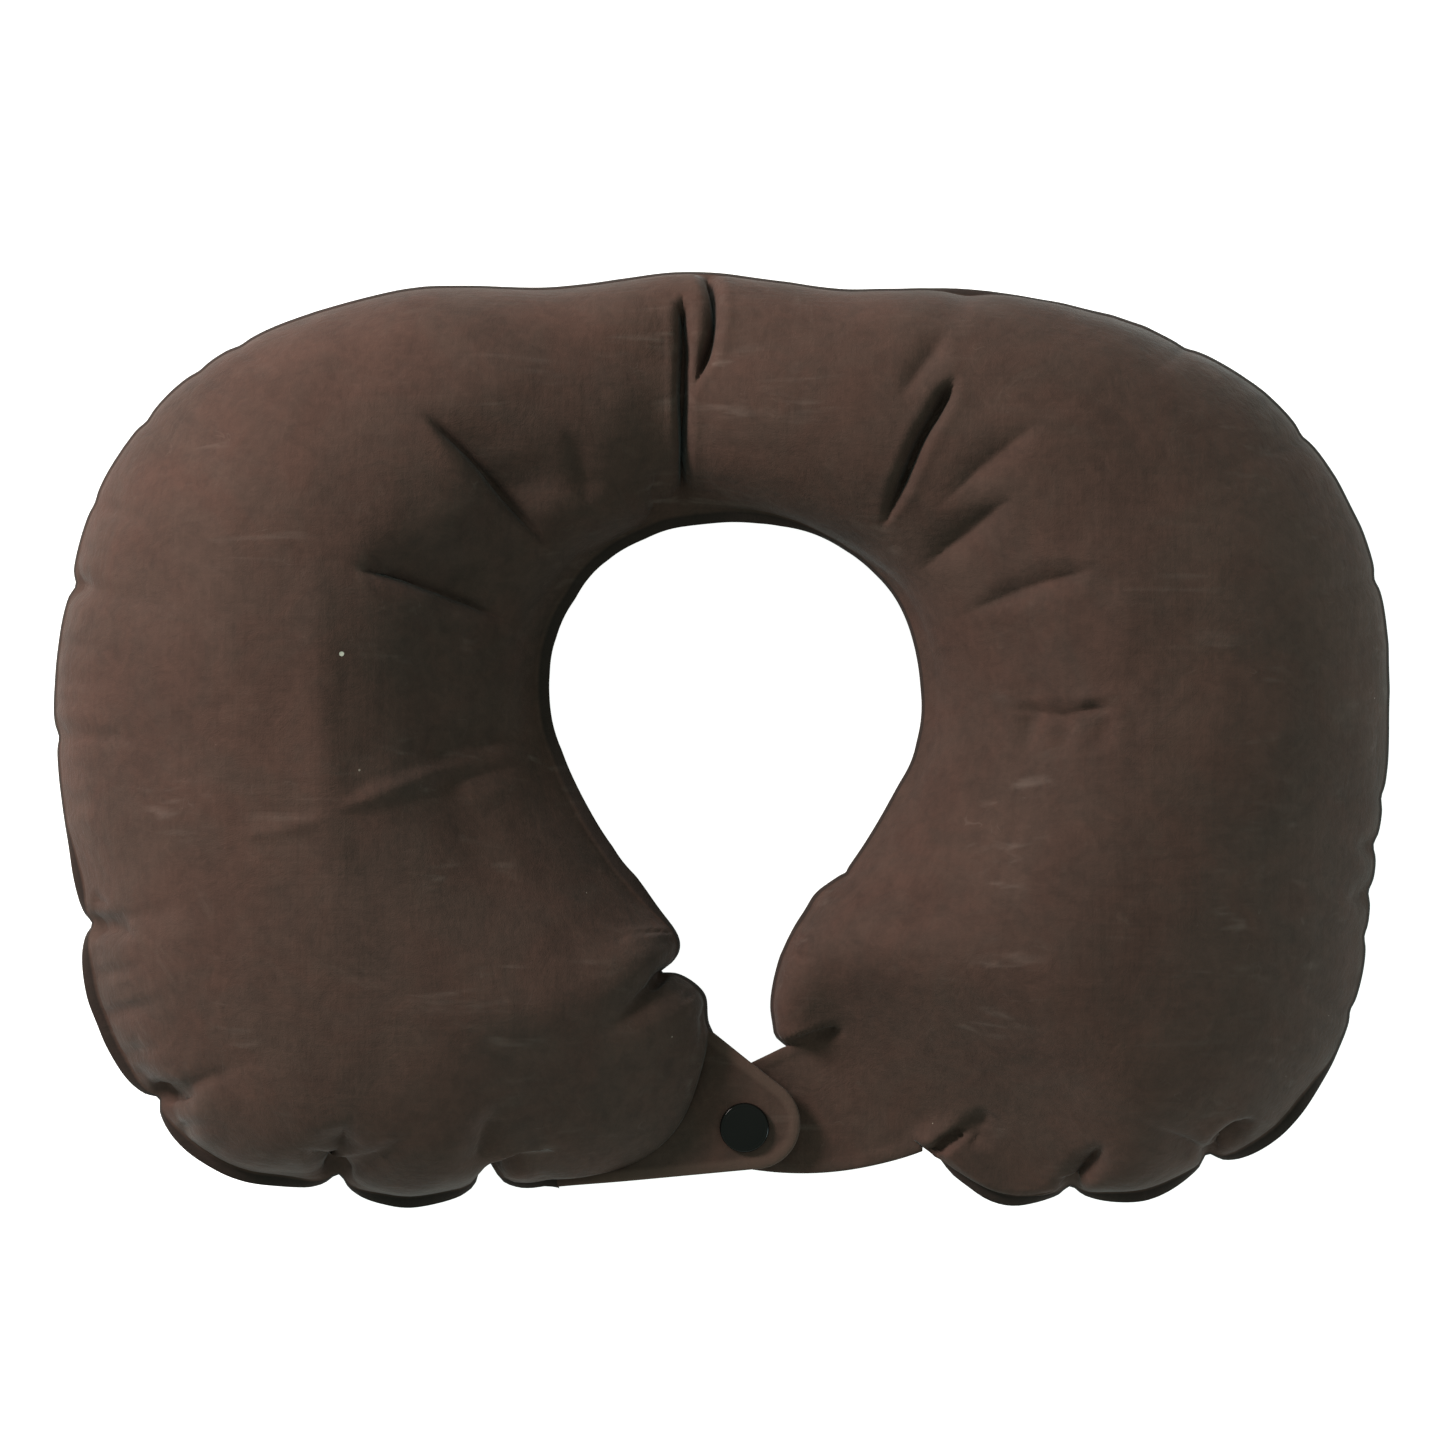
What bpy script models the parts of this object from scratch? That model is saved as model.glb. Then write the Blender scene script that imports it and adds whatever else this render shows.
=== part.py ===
"""U shaped inflatable neck pillow with a press stud closure.

Two flocked PVC panels are welded together round their edges. Each panel runs through
both arms of the U, and is split here at the crease in the middle of the back, where
the arms twist against each other. A two-ply tab at the end of each arm carries one
half of a ring-spring press stud, and a push-in valve sits low on the right of the
back. Metres, +Z up, the back of the neck towards +Y, the tabs towards -Y.
"""

import math

import bmesh
import bpy
from mathutils import Matrix, Vector

MM = 0.001

# Driving sizes, in millimetres.
HALF_HEIGHT = 49.0  # of the fully blown lobes, from the seam to the crown
SEAM_Z = 48.0  # height of the welded seam above the surface the pillow lies on
FILM = 0.8  # flocked film of the panels
TAB_FILM = 0.7
FLANGE = 4.0  # width of the weld round each panel
GAP = 0.3  # left between two pieces that touch
CREASE_X = -8.0  # where the back is creased, and where the arms twist

# Each rib crosses one arm from its inner edge to its outer edge, and says how high
# the panel stands there. The last two ribs are the flat weld at the end of the arm.
LEFT_RIBS = (
    ((CREASE_X, 65), (CREASE_X, 143), 34),
    ((-22, 61.5), (-50, 138.5), 39),
    ((-37, 52.5), (-101, 137), 44),
    ((-48, 37), (-157, 116), 48),
    ((-52.5, 22), (-192, 75), HALF_HEIGHT),
    ((-51.5, 4), (-205, 15), HALF_HEIGHT),
    ((-44, -15), (-200, -38), HALF_HEIGHT),
    ((-33, -34), (-193, -85), HALF_HEIGHT),
    ((-22, -48), (-167, -125), 48.5),
    ((-13, -64), (-118, -141.4), 45),
    ((-8, -78), (-80, -142), 36),
    ((-4.5, -86.5), (-55, -138), 0),
    ((-3, -91), (-50, -137), 0),
)
RIGHT_RIBS = (
    ((CREASE_X, 65), (CREASE_X, 143), 34),
    ((12, 65.5), (36, 138), 39),
    ((30, 61.5), (82, 137), 44),
    ((46, 51), (132, 125.5), 48),
    ((56.5, 36), (174, 99.5), HALF_HEIGHT),
    ((61, 14), (200, 55), HALF_HEIGHT),
    ((59, -4), (205, 8), HALF_HEIGHT),
    ((51.5, -19), (200.5, -45), HALF_HEIGHT),
    ((41, -36), (192, -90), HALF_HEIGHT),
    ((28, -49.5), (167, -126), 48.5),
    ((19, -64), (122, -141.4), 45),
    ((15, -80), (88, -141.4), 36),
    ((16, -90), (66.5, -133), 0),
    ((18, -94), (62, -131), 0),
)
STEPS_PER_RIB = 2
DOME_STEPS = 12

# The tabs: a straight root along the arm's end weld, and a round tip.
TIP_RADIUS = 14.0
LEFT_TIP = (10.0, -118.0)
RIGHT_TIP = (3.8, -118.0)
TAB_OFFSET = 2.95  # the left tab rises by this, and the right one drops, to hold the stud
LEVEL_FROM = 15.0  # how far from its root a tab has risen or dropped so much
SNAP_AT = (6.9, -119.2)
POST_HOLE_R = 2.0

# The valve, in its own frame: +Z out of the panel.
VALVE_RIB = 1.85  # its place along the right arm, counted in ribs from the crease
VALVE_TURN = math.radians(139)  # its place round the section, from the inner edge
VALVE_HOLE_R = 6.8
VALVE_FLANGE_R = 11.0
VALVE_BEND_R = 36.0  # the flange lies on a panel bent to this radius
COLLAR_BORE_R = 5.3
STEM_R = 5.0
STEM_BORE_R = 3.2
LIP_R = 6.2
LIP_TOP = 3.2
STEM_BOTTOM = -12.0
STOPPER_HINGE_X = -8.0


def clear_scene():
    for obj in list(bpy.data.objects):
        bpy.data.objects.remove(obj)


def collection(name, parent):
    made = bpy.data.collections.new(name)
    parent.children.link(made)
    return made


def material(name, color, roughness, metallic=0.0):
    made = bpy.data.materials.new(name)
    made.use_nodes = True
    shader = made.node_tree.nodes["Principled BSDF"]
    shader.inputs["Base Color"].default_value = (*color, 1.0)
    shader.inputs["Roughness"].default_value = roughness
    shader.inputs["Metallic"].default_value = metallic
    return made


def add_object(name, data, look, home, parent=None):
    obj = bpy.data.objects.new(name, data)
    if look:
        data.materials.append(look)
    home.objects.link(obj)
    obj.parent = parent
    return obj


def add_empty(name, location, home, rotation=None, parent=None):
    empty = bpy.data.objects.new(name, None)
    empty.empty_display_size = 10 * MM
    home.objects.link(empty)
    empty.parent = parent
    turn = rotation.to_4x4() if rotation else Matrix.Identity(4)
    world = Matrix.Translation(location) @ turn
    empty.matrix_basis = world
    return empty


def catmull_rom(before, start, end, after, t):
    """A value between start and end, for numbers or Vectors."""
    return 0.5 * (
        2 * start
        + (end - before) * t
        + (2 * before - 5 * start + 4 * end - after) * t**2
        + (3 * start - before - 3 * end + after) * t**3
    )


def rib_at(ribs, place):
    """The (inner point, outer point, half height) at a place counted in ribs."""
    last = len(ribs) - 1
    first = min(int(place), last - 1)
    four = [ribs[min(max(first + k, 0), last)] for k in (-1, 0, 1, 2)]
    t = place - first
    inner = catmull_rom(*[Vector(rib[0]) for rib in four], t)
    outer = catmull_rom(*[Vector(rib[1]) for rib in four], t)
    # The square of the height is what changes smoothly, so the arm's end is round.
    squared = catmull_rom(*[rib[2] ** 2 for rib in four], t)
    if four[1][2] == 0:
        squared = 0.0
    return inner, outer, math.sqrt(max(squared, 0.0))


def section(ribs, place, side):
    """The outer skin of a panel across one arm. side is 1 for the upper panel, -1 for the lower."""
    inner, outer, height = rib_at(ribs, place)
    across = (outer - inner).normalized()
    start = inner + across * FLANGE
    end = outer - across * FLANGE
    skin = GAP / 2 + FILM
    points = [(inner, 0.0)]
    for step in range(DOME_STEPS + 1):
        angle = math.pi * step / DOME_STEPS
        share = (1 - math.cos(angle)) / 2
        points.append((start.lerp(end, share), height * math.sin(angle)))
    points.append((outer, 0.0))
    return [
        Vector((p.x, p.y, max(SEAM_Z + side * (skin + rise), 0.0))) * MM
        for p, rise in points
    ]


def panel(name, ribs, side, look, home):
    """One panel of one arm: a skin lofted over the ribs, thickened inwards."""
    towards = 1 if ribs is RIGHT_RIBS else -1
    rows = []
    for step in range((len(ribs) - 1) * STEPS_PER_RIB + 1):
        rows.append(section(ribs, step / STEPS_PER_RIB, side))
    for point in rows[0]:
        point.x += towards * GAP / 2 * MM
    form = bmesh.new()
    grid = [[form.verts.new(point) for point in row] for row in rows]
    for row, following in zip(grid, grid[1:]):
        for k in range(len(row) - 1):
            form.faces.new((row[k], row[k + 1], following[k + 1], following[k]))
    if towards * side > 0:
        bmesh.ops.reverse_faces(form, faces=form.faces)
    mesh = bpy.data.meshes.new(name)
    form.to_mesh(mesh)
    form.free()
    mesh.shade_smooth()
    obj = add_object(name, mesh, look, home)
    thick = obj.modifiers.new("film", "SOLIDIFY")
    thick.thickness = FILM * MM
    thick.offset = -1
    thick.use_even_offset = False
    return obj


def tangent_angle(point, centre, radius, turn):
    """Where on a circle the straight edge from point touches it. turn is 1 or -1."""
    away = Vector(point) - Vector(centre)
    return math.atan2(away.y, away.x) + turn * math.acos(radius / away.length)


def circle(centre, radius, start, end, steps):
    """Points on an arc, both ends included."""
    return [
        (
            centre[0] + radius * math.cos(start + (end - start) * k / steps),
            centre[1] + radius * math.sin(start + (end - start) * k / steps),
        )
        for k in range(steps + 1)
    ]


def add_spline(curve, points, z=0.0, closed=True):
    spline = curve.splines.new("POLY")
    spline.points.add(len(points) - 1)
    for target, point in zip(spline.points, points):
        target.co = (point[0] * MM, point[1] * MM, z * MM, 1)
    spline.use_cyclic_u = closed


def as_mesh(curve_object, look, home):
    """The curve object as a mesh object of the same name, with its caps welded."""
    graph = bpy.context.evaluated_depsgraph_get()
    mesh = bpy.data.meshes.new_from_object(curve_object.evaluated_get(graph))
    form = bmesh.new()
    form.from_mesh(mesh)
    bmesh.ops.remove_doubles(form, verts=form.verts, dist=0.001 * MM)
    bmesh.ops.recalc_face_normals(form, faces=form.faces)
    form.to_mesh(mesh)
    form.free()
    mesh.materials.clear()
    name = curve_object.name
    world = curve_object.matrix_world.copy()
    bpy.data.objects.remove(curve_object)
    mesh.name = name
    obj = add_object(name, mesh, look, home)
    obj.matrix_world = world
    return obj


class Tab:
    """The plan of one tab: its root line, the way out from it, and its outline."""

    def __init__(self, ribs, tip, lift):
        self.root = [Vector(point) for point in ribs[-1][:2]]
        self.along = (self.root[1] - self.root[0]).normalized()
        out = Vector((self.along.y, -self.along.x))
        self.out = out if out.dot(Vector(tip) - self.root[0]) > 0 else -out
        self.lift = lift
        start, end = (point + self.out * (GAP + 0.1) for point in self.root)
        turn = 1 if self.along.cross(self.out) > 0 else -1
        first = tangent_angle(start, tip, TIP_RADIUS, -turn)
        last = tangent_angle(end, tip, TIP_RADIUS, turn)
        # The arc runs round the tip, on the side that faces away from the root.
        if turn > 0 and last > first:
            last -= 2 * math.pi
        if turn < 0 and last < first:
            last += 2 * math.pi
        self.outline = [tuple(start), *circle(tip, TIP_RADIUS, first, last, 16), tuple(end)]

    def rise(self, x, y):
        """How far the tab has risen or dropped at a point, to meet the other at the stud."""
        far = (Vector((x, y)) - self.root[0]).dot(self.out)
        return self.lift * min(max(far / LEVEL_FROM, 0.0), 1.0)

    def fold_line(self):
        """A point on the line where the tab levels out, and the way across it."""
        point = self.root[0] + self.out * LEVEL_FROM
        return Vector((*point, 0)) * MM, Vector((*self.out, 0))

    def hinge(self, z):
        middle = (self.root[0] + self.root[1]) / 2 + self.out * GAP / 2
        return Vector((middle.x, middle.y, z)) * MM


def tab_ply(name, tab, level, look, home, parent):
    """One ply of a tab, with the hole for the stud's post. level is its middle, from the seam."""
    curve = bpy.data.curves.new(name, "CURVE")
    curve.dimensions = "2D"
    curve.fill_mode = "BOTH"
    curve.extrude = TAB_FILM / 2 * MM
    add_spline(curve, tab.outline)
    add_spline(curve, circle(SNAP_AT, POST_HOLE_R, 0, 2 * math.pi, 20)[:-1])
    flat = add_object(name, curve, None, home)
    bpy.context.view_layer.update()
    ply = as_mesh(flat, look, home)
    point, across = tab.fold_line()
    form = bmesh.new()
    form.from_mesh(ply.data)
    whole = form.verts[:] + form.edges[:] + form.faces[:]
    bmesh.ops.bisect_plane(form, geom=whole, plane_co=point, plane_no=across)
    form.to_mesh(ply.data)
    form.free()
    for vertex in ply.data.vertices:
        x, y = vertex.co.x / MM, vertex.co.y / MM
        vertex.co.z += (SEAM_Z + level + tab.rise(x, y)) * MM
    ply.data.transform(parent.matrix_world.inverted())
    ply.parent = parent
    return ply


def turned(name, profile, look, home, parent, steps=32):
    """A turned piece. The profile is (radius, height) and runs down its outer side."""
    form = bmesh.new()
    points = [form.verts.new((r * MM, 0, z * MM)) for r, z in profile]
    for here, there in zip(points, points[1:]):
        form.edges.new((here, there))
    if profile[0][0] > 0:
        form.edges.new((points[-1], points[0]))
    mesh = bpy.data.meshes.new(name)
    form.to_mesh(mesh)
    form.free()
    obj = add_object(name, mesh, look, home, parent)
    screw = obj.modifiers.new("turn", "SCREW")
    screw.steps = steps
    screw.render_steps = steps
    screw.use_merge_vertices = True
    screw.merge_threshold = 0.01 * MM
    return obj


def press_stud(home, looks, left_parent, right_parent):
    """Cap, socket and spring on the left tab, and stud and eyelet on the right one."""
    centre = Vector((*SNAP_AT, SEAM_Z)) * MM
    upper = add_empty("upper_snap_axis", centre, home)
    lower = add_empty("lower_snap_axis", centre, home)
    bpy.context.view_layer.update()
    for axis, parent in ((upper, left_parent), (lower, right_parent)):
        axis.parent = parent
        axis.matrix_basis = parent.matrix_world.inverted() @ Matrix.Translation(centre)
    tab_top = TAB_OFFSET + GAP / 2 + TAB_FILM
    under_cap = tab_top + GAP
    over_socket = TAB_OFFSET - GAP / 2 - TAB_FILM - GAP
    cap_r, post_r, flare_r = 7.6, 1.7, 2.5
    turned(
        "snap_cap",
        (
            (0, under_cap + 1.9),
            (3.6, under_cap + 1.7),
            (6.1, under_cap + 1.2),
            (7.3, under_cap + 0.6),
            (cap_r, under_cap),
            (post_r, under_cap),
            (post_r, 1.05),
            (flare_r, 1.05),
            (flare_r, 0.75),
            (0, 0.75),
        ),
        looks["black"],
        home,
        upper,
    )
    socket_r, mouth_r, channel_r = 6.2, 3.6, 5.4
    turned(
        "snap_socket",
        (
            (socket_r, over_socket),
            (socket_r, -0.9),
            (mouth_r, -0.9),
            (mouth_r, -0.4),
            (channel_r, -0.4),
            (channel_r, over_socket - 0.45),
            (POST_HOLE_R, over_socket - 0.45),
            (POST_HOLE_R, over_socket),
        ),
        looks["steel"],
        home,
        upper,
    )
    spring = bpy.data.curves.new("snap_spring", "CURVE")
    spring.dimensions = "3D"
    spring.bevel_depth = 0.4 * MM
    spring.bevel_resolution = 1
    spring.use_fill_caps = True
    opening = math.radians(20)
    ring = circle((0, 0), 4.1, opening, 2 * math.pi - opening, 22)
    add_spline(spring, ring, z=0.25, closed=False)
    add_object("snap_spring", spring, looks["steel"], home, upper)
    stud_r, neck_r, base_r, bore_r = 3.1, 2.7, 5.5, 1.95
    under_stud = -TAB_OFFSET + GAP / 2 + TAB_FILM + GAP
    turned(
        "snap_stud",
        (
            (0, 0.45),
            (2.5, 0.45),
            (stud_r, 0.15),
            (stud_r, -0.3),
            (neck_r, -0.5),
            (neck_r, under_stud + 0.6),
            (base_r, under_stud + 0.6),
            (base_r, under_stud),
            (bore_r, under_stud),
            (bore_r, -0.1),
            (0, -0.1),
        ),
        looks["steel"],
        home,
        lower,
    )
    over_eyelet = -tab_top - GAP
    turned(
        "snap_eyelet",
        (
            (0, -0.45),
            (1.6, -0.45),
            (1.6, over_eyelet),
            (base_r, over_eyelet),
            (base_r, over_eyelet - 0.6),
            (0, over_eyelet - 0.6),
        ),
        looks["steel"],
        home,
        lower,
    )


def valve_frame():
    """Where the valve's hole meets the lower panel's skin, and which way out is."""

    def skin(place, angle):
        inner, outer, height = rib_at(RIGHT_RIBS, place)
        across = (outer - inner).normalized()
        share = (1 - math.cos(angle)) / 2
        point = (inner + across * FLANGE).lerp(outer - across * FLANGE, share)
        down = GAP / 2 + FILM + height * math.sin(angle)
        return Vector((point.x, point.y, SEAM_Z - down)) * MM

    small = 0.05
    centre = skin(VALVE_RIB, VALVE_TURN)
    along = skin(VALVE_RIB + small, VALVE_TURN) - skin(VALVE_RIB - small, VALVE_TURN)
    around = skin(VALVE_RIB, VALVE_TURN + small) - skin(VALVE_RIB, VALVE_TURN - small)
    out = along.cross(around).normalized()
    out = out if out.z < 0 else -out
    side = along.normalized()
    up = out.cross(side)
    turn = Matrix((side, up, out)).transposed()
    return centre, turn


def bend_to_panel(obj):
    """Lets the outer edge of the valve's flange follow the panel round its section."""
    graph = bpy.context.evaluated_depsgraph_get()
    mesh = bpy.data.meshes.new_from_object(obj.evaluated_get(graph))
    obj.modifiers.clear()
    radius = VALVE_BEND_R * MM
    for vertex in mesh.vertices:
        beyond = max(abs(vertex.co.y) - VALVE_HOLE_R * MM, 0.0)
        vertex.co.z -= radius - math.sqrt(radius**2 - beyond**2)
    obj.data = mesh


def valve(home, looks, lower_panel, cutters):
    """Flange and collar, stem, flap, stopper, and the strap that holds the stopper."""
    centre, turn = valve_frame()
    seat = add_empty("valve_seat", centre, home, rotation=turn)
    bpy.context.view_layer.update()

    bpy.ops.mesh.primitive_cylinder_add(
        vertices=32, radius=VALVE_HOLE_R * MM, depth=16 * MM
    )
    cutter = bpy.context.object
    cutter.name = "valve_hole_cutter"
    cutter.matrix_world = seat.matrix_world
    for holder in list(cutter.users_collection):
        holder.objects.unlink(cutter)
    cutters.objects.link(cutter)
    cutter.hide_render = True
    cutter.display_type = "WIRE"
    cut = lower_panel.modifiers.new("valve hole", "BOOLEAN")
    cut.operation = "DIFFERENCE"
    cut.object = cutter

    collar_r = COLLAR_BORE_R + 0.9
    base, rim = 0.5, 1.2
    flange = turned(
        "valve_flange",
        (
            (COLLAR_BORE_R, rim + 0.4),
            (collar_r, rim + 0.4),
            (VALVE_HOLE_R + 1, rim),
            (VALVE_FLANGE_R, rim - 0.3),
            (VALVE_FLANGE_R, base),
            (VALVE_HOLE_R + 1, base),
            (collar_r, base),
            (collar_r, -9),
            (COLLAR_BORE_R, -9),
        ),
        looks["valve"],
        home,
        seat,
    )
    bpy.context.view_layer.update()
    bend_to_panel(flange)

    lip_base = 2.0
    turned(
        "valve_stem",
        (
            (STEM_BORE_R, LIP_TOP),
            (LIP_R, LIP_TOP),
            (LIP_R, lip_base),
            (STEM_R, lip_base),
            (STEM_R, STEM_BOTTOM),
            (STEM_BORE_R, STEM_BOTTOM),
        ),
        looks["valve"],
        home,
        seat,
        steps=28,
    )
    strap = add_box(
        "stopper_strap",
        (STOPPER_HINGE_X + 0.1, -1.6, lip_base + 0.1),
        (-LIP_R - GAP, 1.6, lip_base + 0.9),
        looks["valve"],
        home,
        seat,
    )
    rounded(strap, 0.2)
    flap_hinge = add_empty(
        "flap_hinge", Vector((-STEM_R, 0, STEM_BOTTOM - GAP)) * MM, home, parent=seat
    )
    bpy.ops.mesh.primitive_cylinder_add(vertices=28, radius=4.6 * MM, depth=0.5 * MM)
    flap = bpy.context.object
    flap.name = "valve_flap"
    flap.data.materials.append(looks["valve"])
    rehome(flap, home)
    flap.parent = flap_hinge
    flap.matrix_basis = Matrix.Translation(Vector((STEM_R, 0, -0.35)) * MM)

    stopper_hinge = add_empty(
        "stopper_hinge", Vector((STOPPER_HINGE_X, 0, LIP_TOP)) * MM, home, parent=seat
    )
    plug_r, plug_tip_r, plug_depth = 2.9, 2.4, 2.5
    stopper = turned(
        "valve_stopper",
        (
            (0, 1.9),
            (3.0, 1.7),
            (5.4, 1.3),
            (5.9, 0.9),
            (5.9, GAP),
            (plug_r, GAP),
            (plug_tip_r, GAP - plug_depth),
            (0, GAP - plug_depth),
        ),
        looks["valve"],
        home,
        stopper_hinge,
        steps=28,
    )
    stopper.matrix_basis = Matrix.Translation(Vector((-STOPPER_HINGE_X, 0, 0)) * MM)
    ear = add_box(
        "stopper_ear", (STOPPER_HINGE_X, -1.6, 0.35), (-3.5, 1.6, 1.05), None, cutters, stopper
    )
    ear.hide_render = True
    ear.display_type = "WIRE"
    join = stopper.modifiers.new("ear", "BOOLEAN")
    join.operation = "UNION"
    join.object = ear


def rehome(obj, home):
    for holder in list(obj.users_collection):
        holder.objects.unlink(obj)
    home.objects.link(obj)


def add_box(name, low, high, look, home, parent):
    """A box between two corners, in the parent's frame."""
    size = Vector(high) - Vector(low)
    form = bmesh.new()
    bmesh.ops.create_cube(form, size=1)
    bmesh.ops.scale(form, vec=size * MM, verts=form.verts)
    bmesh.ops.translate(form, vec=(Vector(low) + size / 2) * MM, verts=form.verts)
    mesh = bpy.data.meshes.new(name)
    form.to_mesh(mesh)
    form.free()
    return add_object(name, mesh, look, home, parent)


def rounded(obj, width):
    bevel = obj.modifiers.new("soft edges", "BEVEL")
    bevel.width = width * MM
    bevel.segments = 2


def main():
    clear_scene()
    scene = bpy.context.scene.collection
    home = collection("u_neck_pillow", scene)
    cutters = collection("cutters", scene)
    looks = {
        "flock": material("brown_flock", (0.085, 0.055, 0.044), 0.9),
        "black": material("black_enamel", (0.008, 0.007, 0.006), 0.18),
        "steel": material("stud_metal", (0.35, 0.34, 0.33), 0.35, 1.0),
        "valve": material("valve_pvc", (0.03, 0.026, 0.024), 0.4),
    }
    for arm, ribs in (("left", LEFT_RIBS), ("right", RIGHT_RIBS)):
        panel(f"upper_panel_{arm}", ribs, 1, looks["flock"], home)
        lower = panel(f"lower_panel_{arm}", ribs, -1, looks["flock"], home)

    hinges = {}
    ply_level = GAP / 2 + TAB_FILM / 2
    for arm, ribs, tip, lift in (
        ("left", LEFT_RIBS, LEFT_TIP, TAB_OFFSET),
        ("right", RIGHT_RIBS, RIGHT_TIP, -TAB_OFFSET),
    ):
        tab = Tab(ribs, tip, lift)
        hinge_z = SEAM_Z + math.copysign(GAP / 2 + FILM, lift)
        hinges[arm] = add_empty(f"{arm}_tab_hinge", tab.hinge(hinge_z), home)
        bpy.context.view_layer.update()
        for ply, level in (("top", ply_level), ("bottom", -ply_level)):
            tab_ply(f"{arm}_tab_{ply}_ply", tab, level, looks["flock"], home, hinges[arm])
    press_stud(home, looks, hinges["left"], hinges["right"])
    valve(home, looks, lower, cutters)


main()
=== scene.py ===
"""Looks of the inflatable U shaped neck pillow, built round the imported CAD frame.

Shapes are worked out in millimetres in the row frame, +X to the right, +Y to the back
of the pillow and +Z up, and become meshes in metres.
"""

import math

import bmesh
import bpy
import numpy as np
from mathutils import Matrix, Vector, noise

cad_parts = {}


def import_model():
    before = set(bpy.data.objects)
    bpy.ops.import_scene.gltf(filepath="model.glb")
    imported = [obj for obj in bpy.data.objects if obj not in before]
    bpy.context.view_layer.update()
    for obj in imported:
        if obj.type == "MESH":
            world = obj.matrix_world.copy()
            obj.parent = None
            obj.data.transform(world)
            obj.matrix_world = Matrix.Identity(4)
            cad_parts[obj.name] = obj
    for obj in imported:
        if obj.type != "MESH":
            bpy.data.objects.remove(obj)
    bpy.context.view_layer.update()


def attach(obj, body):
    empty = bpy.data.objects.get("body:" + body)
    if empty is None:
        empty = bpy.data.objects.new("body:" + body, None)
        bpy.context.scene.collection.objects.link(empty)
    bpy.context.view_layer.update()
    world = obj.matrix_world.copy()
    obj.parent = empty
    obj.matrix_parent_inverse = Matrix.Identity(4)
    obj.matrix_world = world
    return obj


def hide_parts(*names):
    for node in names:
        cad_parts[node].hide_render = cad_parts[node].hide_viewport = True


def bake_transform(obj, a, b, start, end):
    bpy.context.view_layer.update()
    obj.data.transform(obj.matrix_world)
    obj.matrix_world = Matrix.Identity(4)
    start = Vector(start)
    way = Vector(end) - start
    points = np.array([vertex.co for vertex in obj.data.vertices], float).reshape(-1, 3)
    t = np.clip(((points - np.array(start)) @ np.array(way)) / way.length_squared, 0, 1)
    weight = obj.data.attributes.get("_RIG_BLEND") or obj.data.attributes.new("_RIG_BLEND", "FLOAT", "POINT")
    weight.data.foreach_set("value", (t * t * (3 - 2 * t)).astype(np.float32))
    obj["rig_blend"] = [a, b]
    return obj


MM = 0.001
SEAM_Z = 48.0  # the plane in which the two panels are welded
CREASE_X = -8.0  # the crease across the back
HALF_HEIGHT = 49.0  # the most that the film stands above the seam

# Each rib crosses an arm: its inner end, its outer end and the height of the panel
# above the seam. The list runs from the left arm's root line round the back to the
# right arm's.
RIBS = (
    ((-1, -95), (-45, -136), 0),
    ((-3.2, -90), (-51, -137.4), 0),
    ((-8, -78), (-80, -142), 36),
    ((-13, -64), (-118, -141.4), 45),
    ((-22, -48), (-167, -125), 48.5),
    ((-33, -34), (-193, -85), HALF_HEIGHT),
    ((-44, -15), (-200, -38), HALF_HEIGHT),
    ((-51.5, 4), (-205, 15), HALF_HEIGHT),
    ((-52.5, 22), (-192, 75), HALF_HEIGHT),
    ((-48, 37), (-157, 116), 48),
    ((-37, 52.5), (-101, 137), 44),
    ((-22, 61.5), (-50, 138.5), 39),
    ((CREASE_X, 65), (CREASE_X, 143), 34),
    ((12, 65.5), (36, 138), 39),
    ((30, 61.5), (82, 137), 44),
    ((46, 51), (132, 125.5), 48),
    ((56.5, 36), (174, 99.5), HALF_HEIGHT),
    ((61, 14), (200, 55), HALF_HEIGHT),
    ((59, -4), (205, 8), HALF_HEIGHT),
    ((51.5, -19), (200.5, -45), HALF_HEIGHT),
    ((41, -36), (192, -90), HALF_HEIGHT),
    ((28, -49.5), (167, -126), 48.5),
    ((19, -64), (122, -141.4), 45),
    ((15, -80), (88, -141.4), 36),
    ((20, -94.8), (62.5, -130.5), 0),
    ((22, -98), (58, -127), 0),
)
RIB_TABLE = [(*inner, *outer, height**2) for inner, outer, height in RIBS]

# Where the air pulls the weld in between two puffs of the panel: the place on the
# outline, how deep the notch is and how wide its shoulders are. A negative depth is a
# puff that stands out.
OUTER_NOTCHES = (
    (-198, 48, 2.4, 4), (-201, 1, 1.4, 4), (-191, -57, 5, 6), (-173, -112, 6, 7),
    (-148, -133, -1.5, 14), (-118, -139, 7, 6), (-94, -142, -1.5, 12),
    (-72, -139, 12, 4.5), (61, -131, 4.5, 6), (86, -141.5, -2.5, 12),
    (107, -141, 5.5, 6), (128, -140, -2.5, 12), (150, -133, 6.5, 6), (194, -83, 1.2, 4),
    (198, -62, 1.2, 4), (198, -48, 1.6, 4), (201, -33, 1.8, 4), (201, -18, 1, 3),
    (202, 50, 1.4, 4), (180, 95, 1.4, 6), (142, 121, 1.2, 6), (-147, 121, 0.8, 4),
    (-160, 112, 0.7, 4), (-178, 97, 0.9, 4), (-193, 73, 0.8, 4),
)
INNER_NOTCHES = (
    (-13, -62, -1.8, 9), (-11.3, -69.5, 9, 3), (-6.5, -79, -2.8, 6),
    (15.8, -87, -1.3, 5), (17.8, -91.5, -1.5, 2.5), (38, -42, 1.3, 3.5),
    (29, -49, -0.8, 5),
)

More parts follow.
